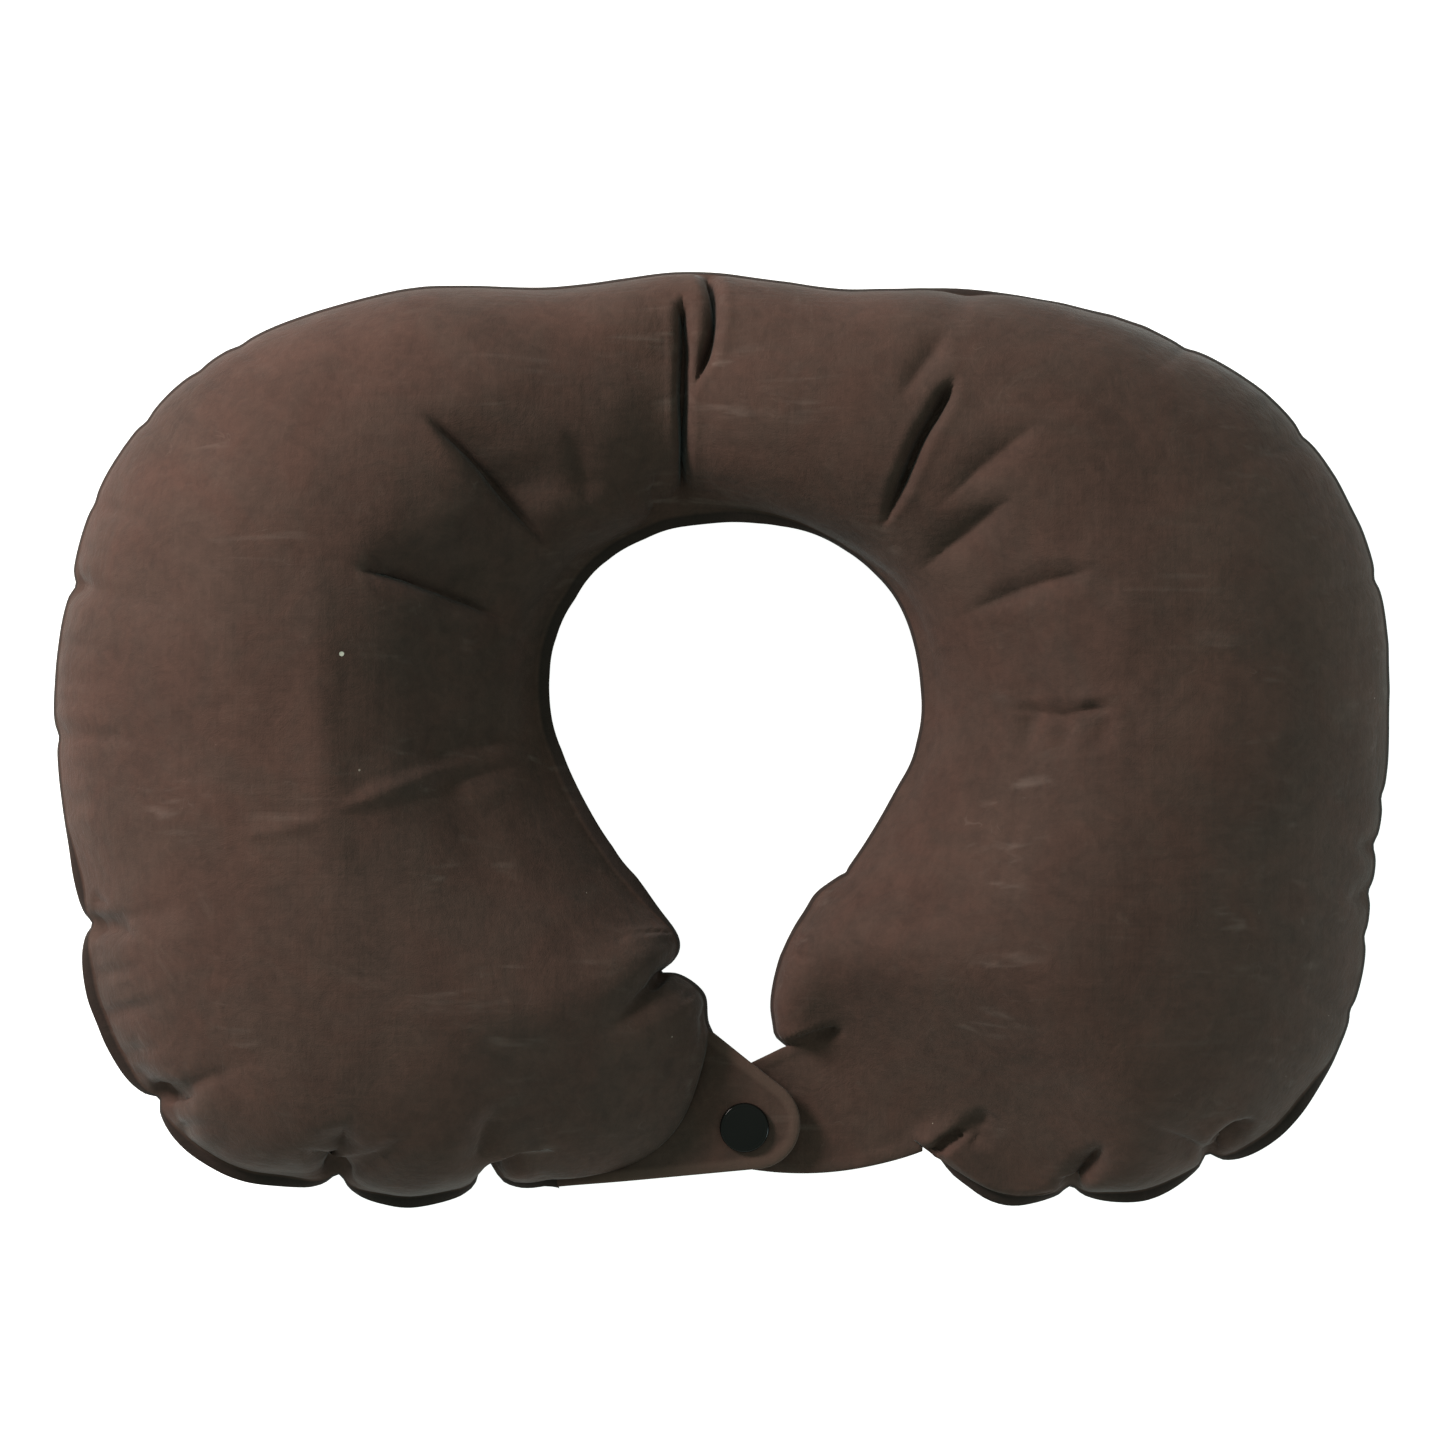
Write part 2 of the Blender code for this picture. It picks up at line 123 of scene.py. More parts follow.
# Valleys that the film keeps under pressure: the line, the depth, the half width (or one
# for the side on the line's left and one for its right), and over what share of its
# length the valley fades out at the line's first and last point.
VALLEYS = (
    # the back
    (((-12, 138), (-11.6, 112), (-11.6, 90), (-11.8, 60)), 7, (14, 26), 0.3, 0.2),
    (((-12.2, 134), (-11.6, 112), (-11.6, 90), (-11.8, 66)), 8, 1.9, 0.06, 0),
    (((-4.5, 142), (-2.6, 134), (-3.2, 122), (-8.8, 104)), 7.5, 2.2, 0, 0.35),
    (((-21, 80), (-20.5, 66)), 1.4, 2, 0.4, 0.3),
    # left of the opening: the film runs straight from the crest of the arm to its weld
    (((-30, 98), (-62, 72), (-82, 35), (-84, 0), (-72, -35), (-50, -62)), 5, 17, 0.3, 0.3),
    (((-121, 62), (-120, 20), (-117, -20), (-108, -50)), -2, 6, 0.3, 0.4),
    (((-118, -23), (-100, -16), (-84, -10), (-70, -6)), -1.7, 2, 0.3, 0.5),
    (((-146, -29), (-130, -27), (-116, -23)), -0.9, 2, 0.4, 0.2),
    (((-124, -22), (-117, -28), (-108, -44)), -1, 2.6, 0.3, 0.5),
    (((-91, 99), (-77, 86), (-63, 70), (-49, 54)), 6, (9, 3), 0.4, 0.5),
    (((-89, 97), (-77, 86), (-63, 70), (-50, 55)), 2.8, 1.3, 0.15, 0.3),
    (((-48, 94), (-42, 82), (-41, 68)), 2, 3.6, 0.5, 0.4),
    (((-113, 51), (-96, 47.5), (-78, 41), (-60, 33)), 6, (9, 3), 0.35, 0.4),
    (((-110, 50.5), (-96, 47), (-78, 40.5), (-62, 34)), 1.8, 1.3, 0.15, 0.4),
    (((-95, -4), (-78, -2.5), (-58, 1)), 2.6, 4.2, 0.3, 0.4),
    (((-92, -17), (-76, -12), (-60, -8)), 1.8, 3.4, 0.4, 0.4),
    # right of the opening
    (((40, 98), (72, 66), (88, 30), (90, -5), (76, -40), (54, -66)), 3, 17, 0.3, 0.3),
    (((68, 123), (60, 112), (52, 100)), 2.4, 3.2, 0.3, 0.5),
    (((70, 109), (64, 98), (58, 87), (48, 62)), 8, 2.2, 0.16, 0.3),
    (((97, 96), (80, 83), (64, 69)), 2.6, 4.2, 0.4, 0.4),
    (((88, 73), (74, 62), (59, 50)), 3.6, 4.2, 0.35, 0.35),
    (((111, 50), (92, 45), (70, 36)), 2.8, 3.2, 0.2, 0.5),
    # the crumpled patch on the right
    (((87, 9), (100, 7), (112, 9), (121, 4)), 2.2, 2.2, 0.2, 0.3),
    (((104, 4), (108, 11), (114, 11.5), (119, 4), (119, -3)), -1.8, 1.7, 0.3, 0.3),
    (((119, 54), (121, 34), (119, 14)), -1, 4, 0.4, 0.4),
    (((89, 28), (87, 14), (88, -2), (90, -10)), -1.1, 2.2, 0.4, 0.3),
    (((128, 9), (127, 0), (130, -7)), -0.9, 1.8, 0.4, 0.4),
    (((93, 8), (91, -7)), 1.8, 2.6, 0.2, 0.6),
    (((104, 8), (100, -9)), 2.1, 2.6, 0.2, 0.6),
    (((116, 7), (110, -6)), 1.8, 2.6, 0.2, 0.6),
    # inwards from the notches, round the front of the left arm
    (((-190, -58), (-183, -58), (-175, -61)), 3.4, 3.4, 0, 0.6),
    (((-193, -49), (-185, -51)), 1.6, 2.2, 0.2, 0.6),
    (((-172, -109), (-165, -110), (-156, -106)), 4.5, 4.6, 0, 0.7),
    (((-118, -134), (-122, -130), (-127, -123)), 5, 2.6, 0, 0.7),
    (((-118, -132), (-115, -124), (-112, -113)), 5.5, 4.6, 0, 0.6),
    (((-72, -127), (-70, -119), (-67, -108)), 4.5, 4.6, 0, 0.7),
    (((-17.5, -72), (-20, -74.5), (-23, -78)), 2.5, 1.2, 0, 0.6),
    (((-31, -61), (-24, -60), (-17, -59.6)), -0.9, 1.5, 0.3, 0),
    (((-197, 47), (-189, 45)), 2, 3.4, 0, 0.7),
    # and round the front of the right arm
    (((63.5, -128.3), (68, -124.5), (73.5, -119.8)), 6, 1.4, 0.15, 0.3),
    (((76, -127), (81, -111)), 2.4, 3.6, 0.3, 0.5),
    (((107, -136), (110, -131), (116, -122)), 6, 3, 0, 0.6),
    (((150, -127), (153, -123), (162, -115)), 8.5, 2.8, 0, 0.5),
    (((20, -95), (29, -91.8), (38, -88.4)), 5, 1.5, 0, 0.4),
    (((199, -33), (192, -34)), 1.6, 2.4, 0, 0.7),
    (((197, -48), (189, -50)), 1.6, 2.6, 0, 0.7),
)
VALLEY_STEP = 0.8  # between the points of a line
VALLEY_REACH = 5  # how far from its line a valley is felt, in widths
DEEPEST = 0.8  # the most of the film's height that a valley takes
SEAM_FADE = 3.0  # the height under which valleys fade out
FADED_WIDTH = 0.35  # the share of the width that is left at a faded end
FLOOR_ROUND = 0.35  # how round a valley's floor is, in widths
SHOULDER = 0.12  # how much the film stands up beside a valley, as a share of its depth
SHOULDER_AT = 2.1  # how far from the line, in widths
SHOULDER_WIDTH = 3.0  # a wider valley has less of a shoulder
LEAN = 0.5  # how far a valley's sides lean over it, as a share of its depth
MOST_LEAN = 0.45  # of the way to the line

TIP_RADIUS = 14.0
LEFT_TIP = (10.0, -118.0)
RIGHT_TIP = (3.8, -118.0)
LEFT_ROOT = ((-2.4, -90.5), (-50.4, -137.7))
RIGHT_ROOT = ((18.5, -95), (61.5, -126.8))
# Slits in the end of the right arm, from its edge inwards: the line, how much higher the
# film stands on its left (on its right where negative), and how far from it.
RIGHT_SLITS = (
    ((20, -94.5), (40, -87), 7, 99),
    ((61, -129.5), (82, -113), -7, 99),
    ((61, -129.5), (82, -113), 5, 10),
)
SLIT_EDGE = 3.0  # the film beside a slit rises to its height in this far
SLIT_START = 4.0  # and in this far from the root
END_PUFF = 15.0  # how far the end of the left arm is blown out over its tab
PUFF_REACH = 36.0  # how far back into the arm the film is drawn out with it
END_HEIGHT = 20.0  # how high that end stands at three times END_BEND from its root
END_BEND = 5.0
END_ROUND = 6.0  # how softly it passes into the arm
RIGHT_SLOPE = 1.15  # how steeply the end of the right arm rises, past its bend
RIGHT_BEND = 20.0
RIGHT_DROP = 0.2
RIGHT_ROUND = 12.0
TAB_BOW = 4.1  # how far the outer side of the right tab bows out
TAB_OFFSET = 2.95  # the left tab rises by this, and the right one drops, to hold the stud
LEVEL_FROM = 15.0  # how far from its root a tab has risen or dropped so much
SNAP_AT = (6.9, -119.2)

# The valve: its place along the ribs, and round the section from the inner edge.
VALVE_RIB = 13.85
VALVE_TURN = math.radians(139)
VALVE_HOLE_R = 6.8
VALVE_BEND_R = 36.0  # the flange lies on a panel bent to this radius
SEAT_HEIGHT = 0.35  # of the panel under the flange
SEATED = (12, 42)  # it lies there up to the first distance, and is free from the second
SEAT_DEPTH = 25.0  # the far side of the arm lies deeper than this
PANEL_FLANGE = 4.0
PANEL_SKIN = 0.95  # from the seam plane to the outer face of a flat panel

WELD_WIDE = 3.8  # where the welded margin lies flat and shows from above
WELD_NARROW = 1.1  # where the blown panel hangs over it
START_HEIGHT = 0.86  # of the film before it is blown up, as a share of its full height
SPARE_FILM = 8.0  # how much wider the panel is cut than the outline that its weld takes
SPARE_INSIDE = 0.04  # the share of that at the inner edge
CUT_HEIGHT = START_HEIGHT * 0.95
FILM = 0.45  # the thickness of one film
EDGE_WAVE = 16.0  # the weld wanders in waves about this long
EDGE_WANDER = 0.5
NOTCH_HIDES = 10.0  # how far from a notch the film hangs over the weld
UNEVEN = ((38, 1.0), (14, 0.28))  # slow waves of the film: how long and how high
UNEVEN_FROM = 8.0  # lower down the waves are less high
COLUMNS = 300
ROWS = 44
FINE_COLUMNS = 760
CREASE_FINER = 2.2  # how much closer the fine columns stand at the crease
CREASE_SHARE = 0.492  # how far along the arms the crease lies
CREASE_SPAN = 0.02
SAMPLES = 4000  # for measuring along the arms

# Where the margin of the weld shows from above: nothing of it at the first place, and all
# of it from the second.
SHOWN_LEFT_OF = (34, 8)
SHOWN_BEHIND = (-62, -42)
SHOWN_FRONT_LEFT = (-25, -50)
SHOWN_FRONT_RIGHT = (-95, -115)
SHOWN_AT_BACK = 75  # half of it shows round here
HANG = 0.5  # how far a hidden margin hangs down, as a share of its width
MARGIN_ROWS = 3
ROUND = 0.15  # of the margin's rim

SHARP = math.radians(32)  # edges over this angle are softened by a bevel
TURN_STEPS = 96
MIX_A, MIX_B, MIX_RESULT = 6, 7, 2  # the colour sockets of a Mix node


def smooth(t):
    """Goes from 0 to 1 as t does, level at both ends."""
    t = np.clip(t, 0, 1)
    return t * t * (3 - 2 * t)


def rise(values, start, end):
    """Goes from 0 at one value to 1 at another, level at both."""
    return smooth((values - start) / (end - start))


def catmull_rom(points, places):
    """Smooth values at fractional places along a list of points."""
    points = np.asarray(points, float)
    last = len(points) - 1
    first = np.clip(places.astype(int), 0, last - 1)
    t = (places - first).reshape(-1, *[1] * (points.ndim - 1))
    a, b, c, d = (points[np.clip(first + k, 0, last)] for k in (-1, 0, 1, 2))
    return 0.5 * (
        2 * b
        + (c - a) * t
        + (2 * a - 5 * b + 4 * c - d) * t**2
        + (3 * b - a - 3 * c + d) * t**3
    )


def fine_shares():
    """Shares of the way along the arms, closer together at the crease of the back."""
    fine = np.linspace(0, 1, SAMPLES)
    density = 1 + CREASE_FINER * np.exp(-(((fine - CREASE_SHARE) / CREASE_SPAN) ** 2))
    reached = np.cumsum(density)
    reached = (reached - reached[0]) / (reached[-1] - reached[0])
    return np.interp(np.linspace(0, 1, FINE_COLUMNS), reached, fine)


def refined(grid, shares):
    """A grid with its columns at these shares, and a smooth new row between each two."""
    grid = catmull_rom(grid, shares * (len(grid) - 1))
    rows = np.moveaxis(grid, 1, 0)
    return np.moveaxis(catmull_rom(rows, np.arange(2 * len(rows) - 1) / 2), 0, 1)


def lengths(points):
    """How far along a line each of its points lies."""
    steps = np.linalg.norm(np.diff(points, axis=0), axis=1)
    return np.concatenate([[0.0], np.cumsum(steps)])


def route(points, spacing):
    """A smooth line through a few points, with evenly spaced ones."""
    fine = catmull_rom(points, np.linspace(0, len(points) - 1, 200))
    along = lengths(fine)
    even = np.linspace(0, along[-1], max(int(along[-1] / spacing), 2) + 1)
    return np.stack([np.interp(even, along, axis) for axis in fine.T], axis=1)


def way_in(edge, towards):
    """At each point of an edge, the way square to it into the panel."""
    along = np.gradient(edge, axis=0)
    way = np.stack([-along[:, 1], along[:, 0]], axis=1)
    way /= np.linalg.norm(way, axis=1)[:, None]
    return way * np.sign((way * towards).sum(1))[:, None]


def shown_inside(edge):
    """How much of the weld shows: on the left and the back of the opening."""
    return rise(edge[:, 0], *SHOWN_LEFT_OF) * rise(edge[:, 1], *SHOWN_BEHIND)


def shown_outside(edge):
    """How much of the weld shows: round the front of each arm, and a little at the back."""
    left = rise(edge[:, 1], *SHOWN_FRONT_LEFT)
    right = rise(edge[:, 1], *SHOWN_FRONT_RIGHT)
    bump = np.exp(-(((edge[:, 0] - SHOWN_AT_BACK) / 6) ** 2))
    right += 0.5 * bump * (edge[:, 1] > 0)
    return np.where(edge[:, 0] < CREASE_X, left, right)


def welded(edge, notches, shown):
    """How far each point of an edge is drawn in, and how wide the weld is there."""
    along = lengths(edge)
    hidden = np.zeros(len(edge))
    rough = [noise.noise(Vector((x / EDGE_WAVE, y / EDGE_WAVE, 0.3))) for x, y in edge]
    drawn_in = EDGE_WANDER * np.abs(rough)
    for x, y, depth, width in notches:
        nearest = np.argmin(np.hypot(edge[:, 0] - x, edge[:, 1] - y))
        away = np.abs(along - along[nearest])
        if depth < 0:
            drawn_in += depth * np.exp(-((away / width) ** 2))
        else:
            drawn_in += depth * np.exp(-away / width)
            hidden = np.maximum(hidden, np.exp(-((away / NOTCH_HIDES) ** 2)))
    return drawn_in, WELD_NARROW + (WELD_WIDE - WELD_NARROW) * shown * (1 - hidden)


class Outline:
    """The two edges of the panels, at some shares of the way along the arms, and their weld."""

    def __init__(self, shares):
        places = np.linspace(1, len(RIBS) - 2, SAMPLES)
        values = catmull_rom(RIB_TABLE, places)
        along = lengths((values[:, :2] + values[:, 2:4]) / 2)
        values = catmull_rom(RIB_TABLE, np.interp(shares * along[-1], along, places))
        self.height = np.sqrt(np.maximum(values[:, 4], 0))
        self.height[[0, -1]] = 0
        self.inner, self.outer = values[:, :2], values[:, 2:4]
        self.across = self.outer - self.inner
        self.across /= np.linalg.norm(self.across, axis=1)[:, None]
        self.inner_way = way_in(self.inner, self.across)
        self.outer_way = way_in(self.outer, -self.across)
        inner_shown, outer_shown = shown_inside(self.inner), shown_outside(self.outer)
        self.inner_drawn, self.inner_weld = welded(self.inner, INNER_NOTCHES, inner_shown)
        self.outer_drawn, self.outer_weld = welded(self.outer, OUTER_NOTCHES, outer_shown)

    def film(self, rows, share_of_height):
        """The film from weld to weld, with its height counted from the seam."""
        inner = self.inner + self.inner_way * (self.inner_drawn + self.inner_weld)[:, None]
        outer = self.outer + self.outer_way * (self.outer_drawn + self.outer_weld)[:, None]
        return self.arch(inner, outer, rows, share_of_height)

    def cut(self, rows):
        """The film as it was cut: with no notches, and wider than its weld leaves it."""
        inner = self.inner + self.across * (WELD_NARROW - SPARE_INSIDE * SPARE_FILM)
        outer = self.outer + self.across * (SPARE_FILM - WELD_NARROW)
        return self.arch(inner, outer, rows, CUT_HEIGHT)

    def arch(self, inner, outer, rows, share_of_height):
        """Half ellipses from the inner edge to the outer, closer together at both."""
        angle = np.linspace(0, math.pi, rows)
        share = ((1 - np.cos(angle)) / 2)[None, :, None]
        points = np.zeros((len(inner), rows, 3))
        points[..., :2] = inner[:, None] * (1 - share) + outer[:, None] * share
        points[..., 2] = share_of_height * self.height[:, None] * np.sin(angle)
        return points


def new_object(name, data):
    obj = bpy.data.objects.new(name, data)
    bpy.context.scene.collection.objects.link(obj)
    return obj


def mesh_object(name, points, faces):
    """A smooth mesh object from points in millimetres."""
    mesh = bpy.data.meshes.new(name)
    mesh.from_pydata((np.asarray(points).reshape(-1, 3) * MM).tolist(), [], faces)
    mesh.shade_smooth()
    return new_object(name, mesh)


def coordinates(mesh):
    points = np.empty(len(mesh.vertices) * 3, np.float32)
    mesh.vertices.foreach_get("co", points)
    return points.reshape(-1, 3)


def quads(index):
    """The faces between neighbours in a grid of point numbers."""
    corners = [index[:-1, :-1], index[1:, :-1], index[1:, 1:], index[:-1, 1:]]
    return np.stack(corners, axis=-1).reshape(-1, 4)


def grid_faces(columns, rows):
    return quads(np.arange(columns * rows).reshape(columns, rows)).tolist()


def blown_up(start, cut, frames, pressure):
    """The film after air has blown it up, held at its weld. It was cut to the shape cut."""
    room = 100.0  # the simulation works best on a film some metres across
    columns, rows = start.shape[:2]
    film = mesh_object("film", start * room, grid_faces(columns, rows))
    film.shape_key_add(name="start")
    wanted = film.shape_key_add(name="cut")
    wanted.data.foreach_set("co", (cut.reshape(-1) * MM * room).astype(np.float32))
    held = np.pad(np.zeros((columns - 2, rows - 2), bool), 1, constant_values=True)
    pinned = film.vertex_groups.new(name="weld")
    pinned.add(np.flatnonzero(held).tolist(), 1.0, "REPLACE")
    cloth = film.modifiers.new("cloth", "CLOTH")
    for name, value in {
        "rest_shape_key": wanted,
        "vertex_group_mass": "weld",
        "quality": 6,
        "mass": 0.3,
        "tension_stiffness": 60,
        "compression_stiffness": 60,
        "shear_stiffness": 20,
        "bending_stiffness": 0.05,
        "tension_damping": 10,
        "compression_damping": 10,
        "shear_damping": 5,
        "bending_damping": 0.5,
        "air_damping": 4,
        "use_pressure": True,
        "uniform_pressure_force": pressure,
    }.items():
        setattr(cloth.settings, name, value)
    cloth.settings.effector_weights.gravity = 0
    cloth.collision_settings.use_collision = False
    cloth.point_cache.frame_start = 1
    cloth.point_cache.frame_end = frames
    for frame in range(1, frames + 1):
        bpy.context.scene.frame_set(frame)
    graph = bpy.context.evaluated_depsgraph_get()
    result = bpy.data.meshes.new_from_object(film.evaluated_get(graph))
    points = coordinates(result)
    bpy.data.objects.remove(film)
    bpy.data.meshes.remove(result)
    bpy.context.scene.frame_set(1)
    return points.astype(float).reshape(start.shape) / room / MM


def normals(grid):
    """The way out of the film at each of its points."""
    along = np.gradient(grid, axis=0)
    across = np.gradient(grid, axis=1)
    normal = np.cross(along, across)
    length = np.linalg.norm(normal, axis=2)
    return normal / np.maximum(length, 1e-9)[..., None]


def carved(film):
    """The film with its valleys pressed in, and the fullness on each side of them."""
    film = film.copy()
    normal = normals(film)
    from_seam = np.minimum(film[..., 2] / SEAM_FADE, 1)
    for points, depth, widths, first_fade, last_fade in VALLEYS:
        left_width, right_width = np.broadcast_to(widths, 2)
        line = route(points, VALLEY_STEP)
        heading = np.gradient(line, axis=0)
        share = np.linspace(0, 1, len(line))
        deep = np.ones(len(line))
        if first_fade:
            deep *= smooth(share / first_fade)
        if last_fade:
            deep *= smooth((1 - share) / last_fade)
        reach = VALLEY_REACH * max(left_width, right_width)
        low, high = line.min(0) - reach, line.max(0) + reach
        plan = film[..., :2]
        near = ((plan > low) & (plan < high)).all(2)
        spots = plan[near]
        distance = np.hypot(*(spots[:, None] - line).T)
        closest = distance.argmin(0)
        away = distance.min(0)
        local = depth * deep[closest] * from_seam[near]
        local = np.minimum(local, DEEPEST * film[near][:, 2])
        aside = spots - line[closest]
        ahead = heading[closest]
        turn = ahead[:, 0] * aside[:, 1] - ahead[:, 1] * aside[:, 0]
        turn /= np.maximum(away * np.linalg.norm(ahead, axis=1), 1e-6)
        width = right_width + (left_width - right_width) * (1 + turn) / 2
        wide = width * (FADED_WIDTH + (1 - FADED_WIDTH) * deep[closest])
        shoulder = SHOULDER * np.exp(-(((away - SHOULDER_AT * wide) / wide) ** 2))
        shoulder *= np.minimum(SHOULDER_WIDTH / wide, 1) ** 2
        floor = FLOOR_ROUND * wide
        fall = np.exp(-(np.hypot(away, floor) - floor) / wide) - shoulder
        towards = -aside / np.maximum(away, 1e-6)[:, None]
        lean = LEAN * local * (away / wide) * np.exp(-away / wide)
        lean = np.minimum(lean, MOST_LEAN * away)
        film[near] -= normal[near] * (local * fall)[:, None]
        film[near, :2] += towards * lean[:, None]
    return film


def shaped_ends(film):
    """The left arm's end puffs out over its tab, and the right one's runs out into its tab."""
    film = film.copy()
    half = len(film) // 2
    left, right = film[:half], film[half:]
    tab = Tab(LEFT_ROOT, LEFT_TIP)
    inside = (tab.start - left[..., :2]) @ tab.out
    limit = END_HEIGHT * (np.sqrt(1 + np.maximum(inside, 0) / END_BEND) - 1)
    left[..., 2] = softly_less(left[..., 2], limit, END_ROUND)
    place = (left[..., :2] - tab.start) @ tab.along / tab.length
    puff = END_PUFF * np.sin(math.pi * np.clip(place, 0, 1))
    puff = puff * (1 - smooth(inside / PUFF_REACH))
    left[..., :2] += puff[..., None] * tab.out
    tab = Tab(RIGHT_ROOT, RIGHT_TIP)
    inside = np.maximum((tab.start - right[..., :2]) @ tab.out, 0)
    limit = RIGHT_SLOPE * (np.hypot(inside, RIGHT_BEND) - RIGHT_BEND) - RIGHT_DROP
    for first, last, lift, reach in RIGHT_SLITS:
        first, last = np.array(first), np.array(last)
        length = np.linalg.norm(last - first)
        way = (last - first) / length
        offset = right[..., :2] - first
        beyond = way[0] * offset[..., 1] - way[1] * offset[..., 0]
        beyond *= np.sign(lift)
        near = 1 - smooth(offset @ way / length)
        near *= smooth(beyond / SLIT_EDGE) * (1 - smooth(beyond / reach))
        limit = limit + abs(lift) * near * smooth(inside / SLIT_START)
    right[..., 2] = softly_less(right[..., 2], limit, RIGHT_ROUND)
    return film


def softly_less(first, second, softness):
    """The lesser of two heights, with a round join, and 0 where either is."""
    less = np.minimum(first, second)
    join = np.maximum(softness - np.abs(first - second), 0) / softness
    return less - np.minimum(0.25 * softness * join**2, 0.5 * less)


def uneven(film, seed):
    """The slow waves of a film that has been folded and blown up many times."""
    normal = normals(film)
    (long, high), (short, low) = UNEVEN
    lift = np.array(
        [
            high * noise.noise(Vector((x / long + seed, y / long, z / long)))
            + low * noise.noise(Vector((x / short, y / short + seed, z / short)))
            for x, y, z in film.reshape(-1, 3)
        ]
    ).reshape(film.shape[:2])
    lift *= np.minimum(film[..., 2] / UNEVEN_FROM, 1)
    return film + normal * lift[..., None]


def valve_frame():
    """Where the valve sits on the lower panel: local X along the arm, Y round it and Z out."""

    def skin(place, angle):
        values = catmull_rom(RIB_TABLE, np.array([place]))[0]
        inner, outer = values[:2], values[2:4]
        across = (outer - inner) / np.linalg.norm(outer - inner)
        share = (1 - math.cos(angle)) / 2
        start, end = inner + across * PANEL_FLANGE, outer - across * PANEL_FLANGE
        down = PANEL_SKIN + math.sqrt(values[4]) * math.sin(angle)
        return Vector((*(start * (1 - share) + end * share), SEAM_Z - down))

    small = 0.05
    along = skin(VALVE_RIB + small, VALVE_TURN) - skin(VALVE_RIB - small, VALVE_TURN)
    around = skin(VALVE_RIB, VALVE_TURN + small) - skin(VALVE_RIB, VALVE_TURN - small)
    out = along.cross(around).normalized()
    out = out if out.z < 0 else -out
    side = along.normalized()
    turn = Matrix((side, out.cross(side), out)).transposed()
    return Matrix.Translation(skin(VALVE_RIB, VALVE_TURN)) @ turn.to_4x4()


def flange_drop(y):
    """How far the bent flange of the valve has dropped at a distance from its middle."""
    beyond = np.maximum(np.abs(y) - VALVE_HOLE_R, 0)
    return VALVE_BEND_R - np.sqrt(np.maximum(VALVE_BEND_R**2 - beyond**2, 0))


def moved(points, matrix):
    return points @ matrix[:3, :3].T + matrix[:3, 3]


def seated(grid):
    """The lower panel drawn against the underside of the valve's flange."""
    to_world = np.array(valve_frame())
    local = moved(grid, np.linalg.inv(to_world))
    depth = local[..., 2]
    hold = 1 - rise(np.hypot(local[..., 0], local[..., 1]), *SEATED)
    target = SEAT_HEIGHT - flange_drop(local[..., 1])
    near = np.abs(depth) < SEAT_DEPTH
    local[..., 2] = np.where(near, depth + (target - depth) * hold, depth)
    return moved(local, to_world)


def softly_limited(values, limit, softness):
    """Values that come close to a limit, and stay under it."""
    over = np.maximum(values - (limit - softness), 0) / softness
    return np.where(over > 0, limit - softness + softness * (1 - np.exp(-over)), values)


def panel_mesh(name, film, outline, side):
    """A panel with its welded margin. The upper one's side is 1 and the lower one's is -1."""
    film = film.copy()
    if side < 0:
        film[..., 2] = softly_limited(film[..., 2], SEAM_Z - FILM, 1.5)
    film[..., 2] = side * (film[..., 2] + FILM)
    level = np.zeros((len(film), 1))
    down = np.array([0, 0, -1.0])
    margins = []
    for seam, out, width in (
        (film[:, 0], np.hstack([-outline.inner_way, level]), outline.inner_weld),
        (film[:, -1], np.hstack([-outline.outer_way, level]), outline.outer_weld),
    ):
        droop = np.sqrt(np.maximum(WELD_WIDE**2 - width**2, 0))[:, None] * HANG
        width = width[:, None]
        foot = seam + out * 0.25 * width + down * 0.15 * droop
        rim = seam + out * (width - ROUND) + down * droop
        edge = rim + out * ROUND
        edge[:, 2] = rim[:, 2] - side * FILM
        margins.append((foot, rim, edge))
    inner, outer = margins
    inner, outer = np.stack(inner[::-1], axis=1), np.stack(outer, axis=1)
    grid = np.concatenate([inner, film, outer], axis=1)
    ends = []
    for column, root, tip in ((0, LEFT_ROOT, LEFT_TIP), (-1, RIGHT_ROOT, RIGHT_TIP)):
        end = grid[column].copy()
        end[:, :2] += 0.5 * Tab(root, tip).out
        end[:, 2] = 0
        ends.append(end[None])
    grid = np.concatenate([ends[0], grid, ends[1]])
    grid[..., 2] += SEAM_Z
    faces = grid_faces(*grid.shape[:2])
    if side < 0:
        grid = seated(grid)
        faces = clear_of_valve([face[::-1] for face in faces], grid)
    panel = mesh_object(name, grid, faces)
    # The welded margin is marked -1, where the flock material paints shade: partly pressed flock, partly its
    # shadow under the film.
    margin = np.zeros(grid.shape[:2])
    margin[:, :MARGIN_ROWS] = margin[:, -MARGIN_ROWS:] = -1
    mark(panel, "weld", margin)
    return panel


def clear_of_valve(faces, grid):
    """The faces that don't reach into the hole of the valve."""
    local = moved(grid.reshape(-1, 3), np.linalg.inv(np.array(valve_frame())))
    inside = np.hypot(local[:, 0], local[:, 1]) < VALVE_HOLE_R + 1
    inside &= np.abs(local[:, 2]) < 6
    return [face for face in faces if not inside[list(face)].any()]


def mark(obj, name, values):
    """A number for each point of a mesh, which its material reads."""
    attribute = obj.data.attributes.new(name, "FLOAT", "POINT")
    attribute.data.foreach_set("value", np.asarray(values, np.float32).reshape(-1))


def bend_across_crease(panel):
    """The panel bends from the right half to the left half across the crease of the back."""
    back = 100 * MM
    half_width = 22 * MM
    middle = CREASE_X * MM
    front, between_arms = 20 * MM, 6 * MM
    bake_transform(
        panel,
        "right_half",
        "left_half",
        start=(middle + half_width, back, SEAM_Z * MM),
        end=(middle - half_width, back, SEAM_Z * MM),
    )
    points = coordinates(panel.data)
    # The arms' ends lie under the crease in X, but each belongs wholly to its own arm.
    share = panel.data.attributes["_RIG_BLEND"]
    values = np.empty(len(points), np.float32)
    share.data.foreach_get("value", values)
    ends = points[:, 1] < front
    values[ends] = points[ends, 0] < between_arms
    share.data.foreach_set("value", values)


